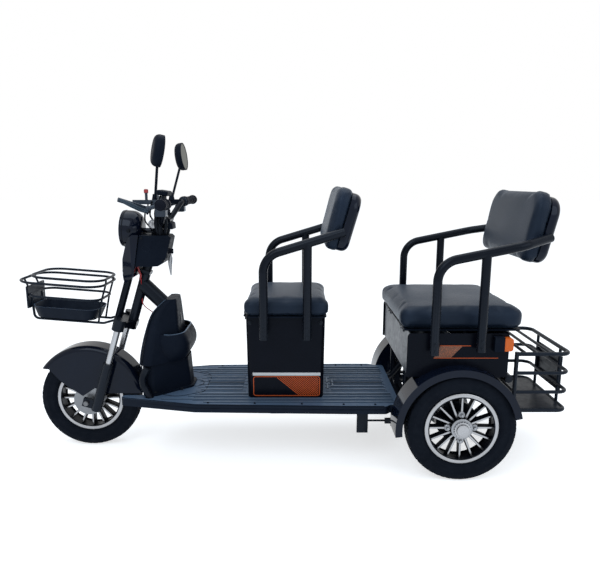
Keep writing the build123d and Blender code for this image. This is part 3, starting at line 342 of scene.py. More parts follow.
def add_piece(name, source, body, slot, material=None, bevel=0.0, sharp=35):
    """Links a mesh as a shown piece that moves with a body; edges over the sharp angle split."""
    bmesh.ops.recalc_face_normals(source, faces=source.faces)
    mesh = bpy.data.meshes.new(name)
    source.to_mesh(mesh)
    source.free()
    piece = bpy.data.objects.new(name, mesh)
    bpy.context.scene.collection.objects.link(piece)
    mesh.materials.append(finish[slot] if material is None else extra[material])
    shade_smooth(mesh)
    if bevel:
        rounding = piece.modifiers.new("rounding", "BEVEL")
        rounding.width = bevel
        rounding.segments = 2
        rounding.limit_method = "ANGLE"
        rounding.angle_limit = radians(40)
    split = piece.modifiers.new("edges", "EDGE_SPLIT")
    split.split_angle = radians(sharp)
    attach(piece, body)
    return piece


def rounded_route(points, steps=6):
    """Points of a smooth Catmull-Rom line through the given ones."""
    points = [Vector(p) for p in points]
    line = []
    for i in range(len(points) - 1):
        before = points[max(i - 1, 0)]
        a, b = points[i], points[i + 1]
        after = points[min(i + 2, len(points) - 1)]
        square = 2 * before - 5 * a + 4 * b - after
        cube = 3 * a - before - 3 * b + after
        for step in range(steps):
            t = step / steps
            line.append(0.5 * (2 * a + (b - before) * t + square * t * t + cube * t**3))
    line.append(points[-1])
    return line


def add_tube(mesh, points, radii, sides=12, closed=False):
    """Sweeps a round section along points; radii is one radius or one for each point."""
    points = [Vector(p) for p in points]
    count = len(points)
    if not isinstance(radii, (list, tuple)):
        radii = [radii] * count
    rings = []
    normal = None
    for i, point in enumerate(points):
        ahead = points[(i + 1) % count] if closed or i + 1 < count else point
        behind = points[i - 1] if closed or i > 0 else point
        along = (ahead - behind).normalized()
        if normal is None:
            helper = Vector((0, 0, 1)) if abs(along.z) < 0.9 else Vector((1, 0, 0))
            normal = helper.cross(along).normalized()
        normal = (normal - along * normal.dot(along)).normalized()
        across = along.cross(normal)
        ring = []
        for k in range(sides):
            turn = 2 * pi * k / sides
            offset = (normal * cos(turn) + across * sin(turn)) * radii[i]
            ring.append(mesh.verts.new(point + offset))
        rings.append(ring)
    pairs = list(zip(rings, rings[1:]))
    if closed:
        pairs.append((rings[-1], rings[0]))
    for one, two in pairs:
        for k in range(sides):
            mesh.faces.new((one[k], one[(k + 1) % sides], two[(k + 1) % sides], two[k]))
    if not closed:
        mesh.faces.new(list(reversed(rings[0])))
        mesh.faces.new(rings[-1])


def add_lathe(mesh, profile, centre, axis, segments=64, closed=False):
    """Turns (radius, distance) points round an axis through centre."""
    axis = Vector(axis).normalized()
    helper = Vector((0, 0, 1)) if abs(axis.z) < 0.9 else Vector((1, 0, 0))
    u = helper.cross(axis).normalized()
    v = axis.cross(u)
    rings = []
    for k in range(segments):
        turn = 2 * pi * k / segments
        spoke = u * cos(turn) + v * sin(turn)
        rings.append([mesh.verts.new(Vector(centre) + spoke * r + axis * h) for r, h in profile])
    last = len(profile)
    steps = range(last if closed else last - 1)
    for k in range(segments):
        one, two = rings[k], rings[(k + 1) % segments]
        for i in steps:
            j = (i + 1) % last
            mesh.faces.new((one[i], one[j], two[j], two[i]))
    if not closed:
        for i in (0, last - 1):
            if profile[i][0] > 1e-6:
                loop = [ring[i] for ring in rings]
                mesh.faces.new(loop if i == 0 else list(reversed(loop)))
    bmesh.ops.remove_doubles(mesh, verts=mesh.verts, dist=1e-6)


def add_plate(mesh, outline, thick):
    """Closed flat outline of points, thickened by a vector."""
    thick = Vector(thick)
    low = [mesh.verts.new(p) for p in outline]
    high = [mesh.verts.new(Vector(p) + thick) for p in outline]
    mesh.faces.new(list(reversed(low)))
    mesh.faces.new(high)
    for i in range(len(low)):
        j = (i + 1) % len(low)
        mesh.faces.new((low[i], low[j], high[j], high[i]))


def add_box(mesh, low, high):
    low, high = Vector(low), Vector(high)
    outline = [(low.x, low.y), (high.x, low.y), (high.x, high.y), (low.x, high.y)]
    add_plate(mesh, [(x, y, low.z) for x, y in outline], (0, 0, high.z - low.z))


def bolt(mesh, place, axis, radius, height):
    """Hexagon head on a washer."""
    washer_radius, washer_height = radius * 1.35, height * 0.25
    washer = [(0, 0), (washer_radius, 0), (washer_radius, washer_height), (0, washer_height)]
    add_lathe(mesh, washer, place, axis, 20)
    start = Vector(place) + Vector(axis).normalized() * height * 0.2
    head = [(0, 0), (radius, 0), (radius, height * 0.7), (radius * 0.8, height), (0, height)]
    add_lathe(mesh, head, start, axis, 6)


# ------------------------------------------------------------------- packed surfaces
# Nodes whose upward faces get a painted sky reflection, through the deck_top finish.
top_reflection_nodes = ("footboard", "front_basket_tray")
# Thickness of the plastic coating over thin wires.
thicker = {"front_basket": 0.0009}


def dress_cad():
    slots = {entry["node"]: entry["material_slot"] for entry in record["subparts"]}
    for name, piece in frame["nodes"].items():
        piece.data.materials.clear()
        material = extra["deck_top"] if name in top_reflection_nodes else finish[slots[name]]
        piece.data.materials.append(material)
        shade_smooth(piece.data)
        if name in thicker:
            swell = piece.modifiers.new("coating", "DISPLACE")
            swell.strength = thicker[name]
            swell.mid_level = 0.0
        modifier = piece.modifiers.new("edges", "EDGE_SPLIT")
        modifier.split_angle = radians(32)


dress_cad()


# ------------------------------------------------------------------------- cushions
cushion_voxel = 0.006
filling_pressure = 4.0
swelling_steps = 20
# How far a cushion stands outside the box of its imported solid, on each side.
overlay = 0.001


def loose_copy(node):
    """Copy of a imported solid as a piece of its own, selected for the modifiers."""
    piece = frame["nodes"][node].copy()
    piece.data = piece.data.copy()
    piece.modifiers.clear()
    piece.animation_data_clear()
    for key in list(piece.keys()):
        del piece[key]
    piece.parent = None
    piece.matrix_world = Matrix.Identity(4)
    piece.name = node.replace("_pad", "") + "_upholstery"
    bpy.context.scene.collection.objects.link(piece)
    bpy.ops.object.select_all(action="DESELECT")
    bpy.context.view_layer.objects.active = piece
    piece.select_set(True)
    return piece


def inflate(piece, limit):
    """Blows the piece up as a cloth, and holds each point within a limit of its start."""
    before = [vertex.co.copy() for vertex in piece.data.vertices]
    cloth = piece.modifiers.new("cloth", "CLOTH")
    cloth.settings.use_pressure = True
    cloth.settings.uniform_pressure_force = filling_pressure
    cloth.settings.effector_weights.gravity = 0
    cloth.settings.quality = 4
    cloth.point_cache.frame_start = 1
    cloth.point_cache.frame_end = swelling_steps
    for step in range(1, swelling_steps + 1):
        bpy.context.scene.frame_set(step)
    bpy.ops.object.modifier_apply(modifier=cloth.name)
    bpy.context.scene.frame_set(1)
    for vertex, start in zip(piece.data.vertices, before):
        move = vertex.co - start
        if move.length > limit:
            vertex.co = start + move.normalized() * limit


def fit_to_box(piece, low, high):
    """Stretches the piece to a box, an overlay larger on each side."""
    for i in range(3):
        places = [vertex.co[i] for vertex in piece.data.vertices]
        least, most = min(places), max(places)
        for vertex in piece.data.vertices:
            share = (vertex.co[i] - least) / (most - least)
            vertex.co[i] = low[i] - overlay + share * (high[i] - low[i] + 2 * overlay)


def make_cushion(node, body, shrink, limit, crown=None):
    """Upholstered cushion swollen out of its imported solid, with pulled-in sides."""
    low, high = (Vector(corner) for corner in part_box(node))
    size, centre = high - low, middle(node)
    piece = loose_copy(node)
    for vertex in piece.data.vertices:
        offset = vertex.co - centre
        for i in range(3):
            offset[i] *= 1 - 2 * shrink / size[i]
        vertex.co = centre + offset
    remesh = piece.modifiers.new("remesh", "REMESH")
    remesh.mode = "VOXEL"
    remesh.voxel_size = cushion_voxel
    bpy.ops.object.modifier_apply(modifier=remesh.name)
    inflate(piece, limit)
    smooth = piece.modifiers.new("smooth", "SMOOTH")
    smooth.factor = 0.5
    smooth.iterations = 9
    bpy.ops.object.modifier_apply(modifier=smooth.name)
    if crown is not None:
        crown(piece, low, high)
    fit_to_box(piece, low, high)
    divide = piece.modifiers.new("divide", "SUBSURF")
    divide.levels = divide.render_levels = 1
    bpy.ops.object.modifier_apply(modifier=divide.name)
    piece.data.materials.clear()
    piece.data.materials.append(finish["seat_leather"])
    shade_smooth(piece.data)
    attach(piece, body)
    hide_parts(node)


def seat_crown(dome, pinch):
    """Seats rise in the middle and flatten where they rest on the pan."""

    def shape(piece, low, high):
        size, centre = high - low, (low + high) / 2
        for vertex in piece.data.vertices:
            u = 2 * (vertex.co.x - centre.x) / size.x
            v = 2 * (vertex.co.y - centre.y) / size.y
            up = (vertex.co.z - low.z) / size.z
            bulge = max(0.0, 1 - u * u) * max(0.0, 1 - v * v)
            if up > 0.5:
                vertex.co.z += dome * (bulge - 0.2) * (up - 0.5) * 2
            waist = 1 - abs(2 * up - 1)
            edge = max(abs(u), abs(v))
            if edge > 0.8:
                side = 1 - min(1.0, min(abs(u), abs(v)) ** 2)
                vertex.co.x -= u * pinch * side * (1 - waist) * 0.5
                vertex.co.y -= v * pinch * side * (1 - waist) * 0.5
            if up < 0.12:
                vertex.co.z = low.z + (vertex.co.z - low.z) * 0.4

    return shape


make_cushion("front_seat_cushion", "front_lid", 0.009, 0.013, seat_crown(0.004, 0.004))
make_cushion("rear_seat_cushion", "rear_lid", 0.009, 0.014, seat_crown(0.005, 0.005))
make_cushion("front_backrest_pad", "chassis", 0.006, 0.009)
make_cushion("rear_backrest_pad", "chassis", 0.006, 0.009)


# --------------------------------------------------------------------------- wheels
tread_blocks = 54
# Middle, width, share of the pitch, shift and skew of each row of blocks.
tread_rows = (
    (0.0, 0.0105, 0.8, 0.0, 0.0),
    (0.0145, 0.0105, 0.78, 0.5, 0.25),
    (-0.0145, 0.0105, 0.78, 0.5, -0.25),
    (0.0265, 0.0085, 0.7, 0.1, 0.4),
    (-0.0265, 0.0085, 0.7, 0.1, -0.4),
)


def add_tread(mesh, centre, outer):
    """Rows of separate skewed blocks that stand on the tyre's crown."""
    pitch = 2 * pi / tread_blocks
    for k in range(tread_blocks):
        for y, width, share, shift, skew in tread_rows:
            radius = outer - 0.0007 * (abs(y) / 0.0145) ** 2
            base = radius - 0.0048
            turn = (k + shift) * pitch
            block = []
            for r, inset in ((base, 0.0), (radius, 0.0009)):
                for sy, st in ((-1, -1), (-1, 1), (1, 1), (1, -1)):
                    angle = turn + st * (pitch * share / 2 - inset / radius)
                    angle += sy * skew * pitch * 0.35
                    side = y + sy * (width / 2 - inset)
                    drop = 0.0016 * max(0.0, (abs(side) - 0.02) / 0.01)
                    place = Vector((cos(angle) * (r - drop), side, sin(angle) * (r - drop)))
                    block.append(mesh.verts.new(centre + place))
            mesh.faces.new(block[4:])
            for i in range(4):
                j = (i + 1) % 4
                mesh.faces.new((block[i], block[j], block[4 + j], block[4 + i]))


def make_tyre(name, node, body):
    """Tyre with a bead line, ribbed shoulders and tread."""
    low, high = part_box(node)
    outer = (high.z - low.z) / 2
    half = (high.y - low.y) / 2
    crown = outer - 0.0022
    wall = [
        (0.148, 0.91, 0),
        (0.153, 0.955, 0),
        (0.1545, 0.962, 0.0007),
        (0.156, 0.965, 0),
        (0.166, 0.995, 0),
        (0.176, 0.985, 0),
        (0.1775, 0.987, 0.0006),
        (0.179, 0.99, 0),
        (0.1905, 0.96, 0),
        (0.1985, 0.86, 0),
        (crown - 0.0018, 0.64, 0),
        (crown - 0.0004, 0.3, 0),
    ]
    profile = [(0.1285, -0.026), (0.1375, -0.0265), (0.1405, -0.030), (0.1425, -0.0295)]
    profile += [(radius, -half * share - ridge) for radius, share, ridge in wall]
    profile += [(crown, 0)] + [(radius, -y) for radius, y in reversed(profile)]
    mesh = bmesh.new()
    add_lathe(mesh, profile, middle(node), (0, 1, 0), 96, closed=True)
    add_tread(mesh, middle(node), outer)
    piece = add_piece(name, mesh, body, "tyre", sharp=28)
    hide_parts(node)


# Label, tyre node, body and the sides on which the rim shows its face.
wheels = (
    ("front", "front_tyre", "front_wheel", (1, -1)),
    ("rear_left", "rear_tyre_left", "rear_wheel_left", (1,)),
    ("rear_right", "rear_tyre_right", "rear_wheel_right", (-1,)),
)
spokes = 16
ring_outer, ring_inner = 0.1375, 0.1235
lip_face = 0.0313
spoke_root = 0.004
spoke_face = 0.019
hub_face = 0.034


def add_spoke(mesh, centre, turn, root, tip, start, thick):
    """Tapered bar; root and tip are (radius, half width), start and thick lie along the axle."""
    outline = []
    for (radius, half), sign in ((root, -1), (tip, -1), (tip, 1), (root, 1)):
        across = sign * half
        x = radius * cos(turn) - across * sin(turn)
        z = radius * sin(turn) + across * cos(turn)
        outline.append(centre + Vector((x, start, z)))
    add_plate(mesh, outline, (0, thick, 0))


def make_rim_faces(name, centre, body, sides):
    """Machined ring and spoke faces, dark spokes behind them, wheel bolts and hub flange."""
    mesh = bmesh.new()
    for side in sides:
        y = side * lip_face
        profile = [
            (ring_inner - 0.0008, y - side * 0.004),
            (ring_inner, y + side * 0.0008),
            (ring_inner + 0.003, y + side * 0.0016),
            (ring_outer - 0.004, y + side * 0.0014),
            (ring_outer - 0.001, y),
            (ring_outer - 0.001, y - side * 0.004),
        ]
        add_lathe(mesh, profile, centre, (0, 1, 0), 96, closed=True)
        for k in range(spokes):
            turn = 2 * pi * k / spokes
            root = (0.040 if k % 4 else 0.058, 0.0036)
            tip = (0.1225, 0.0027)
            add_spoke(mesh, centre, turn, root, tip, side * spoke_face, side * 0.0012)
    add_piece(f"{name}_rim_faces", mesh, body, "rim_black", "machined", bevel=0.0004)
    mesh = bmesh.new()
    for side in sides:
        for k in range(spokes):
            turn = 2 * pi * k / spokes
            depth = side * (spoke_face - spoke_root)
            root, tip = (0.036, 0.0046), (0.1235, 0.0036)
            add_spoke(mesh, centre, turn, root, tip, side * spoke_root, depth)
    add_piece(f"{name}_rim_spokes", mesh, body, "rim_black", bevel=0.0006)
    mesh = bmesh.new()
    for side in sides:
        for k in range(4):
            turn = pi / 2 * k
            place = centre + Vector((0.05 * cos(turn), side * 0.014, 0.05 * sin(turn)))
            boss = [(0, 0), (0.0135, 0), (0.0125, 0.0065), (0.0105, 0.0085), (0, 0.0085)]
            add_lathe(mesh, boss, place, (0, side, 0), 24)
            bolt(mesh, place + Vector((0, side * 0.0085, 0)), (0, side, 0), 0.0065, 0.007)
        flange = [(0.030, 0), (0.0395, 0), (0.0395, 0.004), (0.036, 0.0062), (0.030, 0.0062)]
        start = centre + Vector((0, side * (hub_face - 0.004), 0))
        add_lathe(mesh, flange, start, (0, side, 0), 48, closed=True)
    add_piece(f"{name}_wheel_bolts", mesh, body, "rim_black", "cast_silver")


def make_hub_cap(name, centre, body, side):
    """Domed cap with a notched collar over the axle nut."""
    mesh = bmesh.new()
    start = centre + Vector((0, side * (hub_face + 0.0022), 0))
    collar = [(0.0232, 0), (0.0292, 0), (0.0292, 0.0065), (0.0232, 0.0072)]
    add_lathe(mesh, collar, start, (0, side, 0), 48, closed=True)
    for k in range(20):
        turn = 2 * pi * k / 20
        out = Vector((cos(turn), 0, sin(turn)))
        foot = start + out * 0.0305
        add_tube(mesh, [foot, foot + Vector((0, side * 0.0068, 0))], 0.0021, 6)
    top = centre + Vector((0, side * (hub_face + 0.0142), 0))
    cap = [(0.0233, -0.009), (0.0236, 0.0), (0.0222, 0.0022), (0.014, 0.0036), (0, 0.004)]
    add_lathe(mesh, cap, top, (0, side, 0), 48)
    add_piece(f"{name}_hub_cap", mesh, body, "rim_black", "machined")


for label, tyre_node, wheel_body, open_sides in wheels:
    make_tyre(f"{label}_tyre_treaded", tyre_node, wheel_body)
    make_rim_faces(label, middle(tyre_node), wheel_body, open_sides)
for label, tyre_node, wheel_body, open_sides in wheels[1:]:
    make_hub_cap(label, middle(tyre_node), wheel_body, open_sides[0])


# --------------------------------------------------------------------------- decals
def strip(mesh, plane, a, b, width):
    """Flat line between two places given on a side plane as (station, height)."""
    ax, az = a
    bx, bz = b
    length = ((bx - ax) ** 2 + (bz - az) ** 2) ** 0.5
    nx, nz = -(bz - az) / length * width / 2, (bx - ax) / length * width / 2
    corners = [(ax + nx, az + nz), (bx + nx, bz + nz), (bx - nx, bz - nz), (ax - nx, az - nz)]
    add_plate(mesh, [plane(s, z) for s, z in corners], plane.lift)


class SidePlane:
    """Turns (station, height) in millimetres into places on one side wall."""

    def __init__(self, side, half, low, flare, stand):
        self.side, self.half, self.low, self.flare = side, half, low, flare
        self.stand = stand
        self.lift = Vector((0, side * 0.0004, 0))

    def __call__(self, station, height):
        half = self.half + self.flare * (height - self.low) + self.stand
        return at(station, self.side * half, height)


# The driver's box is 5 mm wider on each side at its top than at its foot, 328 mm lower.
box_flare = 5 / 328


def rounded_corners(low_s, high_s, low_z, high_z, radius, steps=5):
    """Outline of a rectangle with round corners, as (station, height)."""
    line = []
    for cx, cz, start in (
        (high_s - radius, high_z - radius, 0),
        (low_s + radius, high_z - radius, 90),
        (low_s + radius, low_z + radius, 180),
        (high_s - radius, low_z + radius, 270),
    ):
        for step in range(steps + 1):
            turn = radians(start + 90 * step / steps)
            line.append((cx + radius * cos(turn), cz + radius * sin(turn)))
    return line


def make_box_decals():
    """Orange frame with slanted stripes, and a white band above it."""
    low_s, high_s = 692, 950
    low_z, high_z = 271, 349
    band_z, band_height = 359.5, 12
    first_stripe, stripes = 784, 18
    slant = 92 / (high_z - low_z)
    reach = high_s - 6 - first_stripe
    for name, side in (("left", 1), ("right", -1)):
        plane = SidePlane(side, 165, 262, box_flare, 0.4)
        mesh = bmesh.new()
        frame_line = rounded_corners(low_s, high_s, low_z, high_z, 9)
        loop = frame_line + frame_line[:1]
        for a, b in zip(loop, loop[1:]):
            if abs(a[0] - b[0]) + abs(a[1] - b[1]) > 0.01:
                strip(mesh, plane, a, b, 2.8)
        for k in range(stripes):
            top = first_stripe + reach * k / (stripes - 1)
            foot_s, foot_z = top + slant * (high_z - low_z - 6), low_z + 3
            if foot_s > high_s - 4:
                foot_z = high_z - 3 - (high_s - 4 - top) / slant
                foot_s = high_s - 4
            if high_z - foot_z > 5:
                strip(mesh, plane, (top, high_z - 3), (foot_s, foot_z), 2.7)
        piece_name = f"box_decal_orange_{name}"
        add_piece(piece_name, mesh, "chassis", "box_black", "orange_film", sharp=60)
        mesh = bmesh.new()
        strip(mesh, plane, (low_s - 3, band_z), (high_s + 3, band_z), band_height)
        piece_name = f"box_decal_white_{name}"
        add_piece(piece_name, mesh, "chassis", "box_black", "white_film", sharp=60)


make_box_decals()


def make_side_decals():
    """Dotted field between two orange lines on each side of the rear body."""
    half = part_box("rear_side_panel_left")[1].y * 1000
    for name, side in (("left", 1), ("right", -1)):
        plane = SidePlane(side, half, 0, 0, 0.25)
        mesh = bmesh.new()
        corners = [(1382, 510), (1464, 510), (1423, 466), (1361, 466)]
        add_plate(mesh, [plane(s, z) for s, z in corners], plane.lift)
        piece_name = f"side_decal_field_{name}"
        add_piece(piece_name, mesh, "chassis", "box_black", "dot_film", sharp=60)
        mesh = bmesh.new()
        strip(mesh, plane, (1382, 511), (1494, 511), 2.6)
        strip(mesh, plane, (1360, 464.5), (1596, 464.5), 2.6)
        piece_name = f"side_decal_lines_{name}"
        add_piece(piece_name, mesh, "chassis", "box_black", "orange_film", sharp=60)


make_side_decals()


# ----------------------------------------------------------------------------- deck
deck_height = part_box("footboard")[1].z * 1000
rib_root = 1.2
rib_rise = 2.6


def add_rib(mesh, start, end, width):
    """Bar with sloping faces on the deck, between two places given as (station, side)."""
    a, b = (at(*place, deck_height - rib_root) for place in (start, end))
    along = (b - a).normalized()
    across = Vector((-along.y, along.x, 0)) * width / 2000
    slope = across * 0.72
    lift = Vector((0, 0, (rib_rise + rib_root) / 1000))
    run = along * 0.002
    base = [a + across, b + across, b - across, a - across]
    crest = [a + slope + run, b + slope - run, b - slope - run, a - slope + run]
    lower = [mesh.verts.new(p) for p in base]
    upper = [mesh.verts.new(p + lift) for p in crest]
    mesh.faces.new(upper)
    for i in range(4):
        j = (i + 1) % 4
        mesh.faces.new((lower[i], lower[j], upper[j], upper[i]))


def make_deck_details():
    """Ribs, moulded lines round the shield, and the edge bead, seam and bolts of the deck."""
    mesh = bmesh.new()
    for side in (1, -1):
        for y, start in ((122, 470), (147, 430), (178, 330), (209, 500)):
            add_rib(mesh, (start, side * y), (1236, side * y), 12)
        for y in (0, 38, 76):
            for start, end in ((492 - y * 0.3, 640), (1000, 1222)):
                add_rib(mesh, (start, side * (y + 1)), (end, side * (y + 1)), 12)
        add_rib(mesh, (988, side * 70), (988, side * 6), 8)
        add_rib(mesh, (1010, side * 40), (1010, side * 4), 8)
    # The ribs take the lighter finish as a painted highlight.
    add_piece("deck_ribs", mesh, "chassis", "plain_black", "deck_rib_highlight", sharp=25)
    mesh = bmesh.new()
    ring = []
    for k in range(40):
        turn = 2 * pi * k / 40
        ring.append(at(440 + 30 * cos(turn), 38 * sin(turn), deck_height))
    add_tube(mesh, ring, 0.0014, 6, closed=True)
    half_line = [(280, 110), (380, 150), (455, 118), (487, 90), (490, 0)]
    for side in (1, -1):
        route = [at(s, side * y, deck_height) for s, y in half_line]
        add_tube(mesh, rounded_route(route), 0.0016, 6)
    # The moulded lines take the darker finish as painted groove shade.
    add_piece("deck_mouldings", mesh, "chassis", "plain_black", "groove_shade")
    mesh = bmesh.new()
    for side in (1, -1):
        line = [(176, 165), (470, 235.5), (1062, 253.5), (1192, 253.5)]
        bead = [at(s, side * y, deck_height - 1.5) for s, y in line]
        add_tube(mesh, bead, 0.0032, 8)
        line = [(182, 169.5), (470, 238.4), (1062, 256.3), (1192, 256.3)]
        seam = [at(s, side * y, deck_height - 14) for s, y in line]
        add_tube(mesh, seam, 0.0016, 6)
        for station in (520, 700, 880, 1040, 1160):
            edge = 238 + (station - 470) * 18 / 592 if station < 1062 else 256
            bolt(mesh, at(station, side * (edge - 20), deck_height), (0, 0, 1), 0.0035, 0.003)
    add_piece("deck_edge", mesh, "chassis", "plain_black")


make_deck_details()


# --------------------------------------------------------------- handlebar and head
def add_cable(mesh, places, radius):
    """Round cord on a smooth line through places given as (station, side, height)."""
    add_tube(mesh, rounded_route([at(*place) for place in places]), radius / 1000, 8)


# Radius of each cable in millimetres, and places along it.
cables = (
    (3, (310, 188, 992), (296, 150, 972), (283, 100, 948), (279, 50, 930), (286, 20, 908), (296, 16, 884)),
    (3, (330, 176, 1024), (316, 140, 996), (300, 90, 968), (296, 40, 950), (298, 14, 920), (300, 8, 884)),
    (2.6, (312, 160, 1016), (304, 130, 990), (296, 76, 974), (290, 30, 952), (294, 4, 920), (298, 0, 884)),
    (3, (330, -176, 1020), (316, -140, 990), (302, -84, 955), (300, -44, 920), (302, -24, 884)),
    (2.6, (320, -182, 1000), (304, -140, 968), (294, -80, 936), (296, -40, 906), (300, -10, 884)),
    (6, (352, 168, 986), (344, 130, 974), (336, 88, 962), (326, 56, 938), (322, 44, 884)),
    (6, (360, -168, 986), (350, -120, 972), (338, -72, 954), (328, -40, 930), (322, -26, 884)),
    (5, (340, 36, 1040), (336, 44, 1000), (332, 50, 966), (324, 42, 930), (318, 30, 884)),
    (4, (326, 14, 1040), (312, 26, 1004), (308, 40, 966), (304, 42, 926), (308, 20, 884)),
    (7, (346, 60, 968), (352, 56, 946), (348, 44, 920), (336, 30, 884)),
    (7, (320, 62, 958), (312, 60, 940), (312, 52, 918), (316, 40, 884)),
    (7, (330, 4, 950), (350, 16, 930), (352, 20, 906), (344, 18, 884)),
    (4, (250, 10, 908), (270, 22, 902), (292, 26, 898), (306, 20, 884)),
    (7, (342, 150, 998), (330, 118, 984), (322, 90, 968), (318, 66, 946), (316, 48, 918), (314, 36, 884)),
    (8, (352, 138, 1002), (344, 108, 984), (336, 84, 964), (330, 62, 940), (328, 46, 912), (328, 34, 884)),
    (7, (332, 104, 1006), (324, 88, 990), (316, 62, 976), (310, 36, 962), (308, 20, 940), (308, 10, 884)),
)


def make_cables():
    """Brake cables and the wiring harness between the handlebar and the head cover, and levers."""
    mesh = bmesh.new()
    for radius, *places in cables:
        add_cable(mesh, places, radius)
    add_piece("handlebar_cables", mesh, "steering", "rubber", "cable_black")
    mesh = bmesh.new()
    lever = [(238, 272, 1035), (256, 256, 1024), (277, 230, 1010), (297, 204, 996), (314, 187, 990)]
    for side in (1, -1):
        line = rounded_route([at(s, side * y, z) for s, y, z in lever], 5)
        shares = [k / (len(line) - 1) for k in range(len(line))]
        radii = [0.0052 + 0.0036 * min(1.0, share * 2.2) for share in shares]
        add_tube(mesh, line, radii, 14)
    add_piece("lever_blades", mesh, "steering", "lever_metal", "lever_blue")


def make_switchgear():
    """Ignition block, switch boxes, grip rings, cable adjusters, the latch's knob, the red lead."""
    mesh = bmesh.new()
    for low, high, sink in ((324, 352, 0), (346, 370, 9)):
        corners = [(low, 952 - sink), (high, 944 - sink), (high + 2, 914 - sink / 2), (low, 912)]
        add_plate(mesh, [at(s, 34, z) for s, z in corners], (0, -0.066, 0))
    add_box(mesh, at(352, 48, 962), at(322, 78, 988))
    add_box(mesh, at(340, -88, 958), at(316, -52, 984))
    add_piece("ignition_block", mesh, "steering", "plain_black", bevel=0.004)
    mesh = bmesh.new()
    for side in (1, -1):
        end = at(393, side * 312, 1016)
        inner = at(375, side * 142, 1012)
        along = (inner - end).normalized()
        flange = [(0.0158, -0.001), (0.0196, 0.001), (0.0202, 0.004)]
        flange += [(0.0202, 0.009), (0.0172, 0.013), (0.0158, 0.013)]
        add_lathe(mesh, flange, end, along, 40, closed=True)
        for k in range(11):
            ring = [(0.0156, 0), (0.0172, 0.0012), (0.0172, 0.0044), (0.0156, 0.0056)]
            add_lathe(mesh, ring, end + along * (0.022 + 0.0082 * k), along, 32, closed=True)
        tip = [(0, 0), (0.011, 0), (0.0158, 0.003), (0.0158, 0.0055), (0, 0.0055)]
        add_lathe(mesh, tip, end - along * 0.0065, along, 32)
        perch = [(0.0182, 0), (0.021, 0.002), (0.021, 0.024), (0.0182, 0.026)]
        add_lathe(mesh, perch, end + along * 0.121, along, 32, closed=True)
        adjuster = [(0, 0), (0.0055, 0), (0.0055, 0.012), (0.0038, 0.013), (0.0038, 0.02), (0, 0.02)]
        add_lathe(mesh, adjuster, at(318, side * 182, 992), (0.4, side * -0.6, -0.7), 16)
    add_piece("grip_rings", mesh, "steering", "rubber")
    mesh = bmesh.new()
    knob = [(0, 0), (0.0078, 0), (0.0082, 0.008), (0.0066, 0.0125), (0, 0.0138)]
    add_lathe(mesh, knob, at(308, 162.8, 1055), (0, 0, 1), 24)
    add_cable(mesh, [(228, 40, 768), (231, 36, 745), (236, 34, 728), (232, 30, 712)], 4.4)
    add_cable(mesh, [(236, 30, 712), (233, 16, 680), (233, 12, 652), (235, 12, 604), (272, 10, 570)], 2)
    add_piece("red_leads", mesh, "steering", "rubber", "red_lead")


def make_horn_and_key():
    """Grille of the horn, the key's head in its lock, and a fob on a ring."""
    mesh = bmesh.new()
    face = at(297, 46.2, 932)
    ring = [(0.0128, 0), (0.0175, 0), (0.0175, 0.002), (0.0155, 0.003), (0.0128, 0.0014)]
    add_lathe(mesh, ring, face, (0, 1, 0), 40, closed=True)
    bars = face + Vector((0, 0.0006, 0))
    for k in range(4):
        turn = pi / 4 * k
        out = Vector((cos(turn), 0, sin(turn))) * 0.0125
        add_tube(mesh, [bars + out, bars - out], 0.0009, 6)
    add_piece("horn_grille", mesh, "steering", "steel", "cast_silver")
    mesh = bmesh.new()
    fob = [(356, 806), (354, 796), (352, 782), (351, 766), (352, 744), (353, 724)]
    radii = [0.0025, 0.0075, 0.0085, 0.007, 0.0045, 0.0022]
    add_tube(mesh, [at(s, 12, z) for s, z in fob], radii, 14)
    ring = [at(358 + 6 * cos(pi * k / 8), 12, 813 + 6 * sin(pi * k / 8)) for k in range(16)]
    add_tube(mesh, ring, 0.0009, 6, closed=True)
    add_piece("key_fob", mesh, "steering", "steel", "cast_silver")
    mesh = bmesh.new()
    lock = [(0, 0), (0.012, 0), (0.012, 0.004), (0.009, 0.006), (0, 0.006)]
    add_lathe(mesh, lock, at(349, 12, 822), (-1, 0, -0.26), 24)
    add_box(mesh, at(366, 8, 812), at(352, 16, 832))
    add_piece("key_head", mesh, "steering", "rubber", bevel=0.002)


def make_headlight():
    """Smooth lamp bowl with a bezel ring, on its arm."""
    mesh = bmesh.new()
    face = at(169, 0, 912)
    axis = Vector((1, 0, 0.06))
    profile = [(0.066, -0.036), (0.0685, -0.002), (0.0705, 0), (0.0725, -0.002)]
    profile += [(0.073, -0.006), (0.073, -0.03)]
    for k in range(1, 13):
        turn = pi / 2 * k / 12
        profile.append((0.029 + 0.044 * cos(turn), -0.036 - 0.044 * sin(turn)))
    profile.append((0, -0.08))
    add_lathe(mesh, profile, face, axis, 96)
    add_tube(mesh, [at(235, 0, 904), at(300, 0, 904)], 0.01, 20)
    lamp = add_piece("headlight_bowl", mesh, "steering", "gloss_black", sharp=50)
    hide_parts("headlight_shell")
    mesh = bmesh.new()
    bezel = [(0.0725, -0.009), (0.0738, -0.011), (0.0738, -0.0135), (0.0725, -0.0155)]
    add_lathe(mesh, bezel, face, axis, 96, closed=True)
    bolt(mesh, at(209, 73, 908), (0, 1, 0), 0.006, 0.005)
    add_piece("headlight_ring", mesh, "steering", "gloss_black", "cable_black")


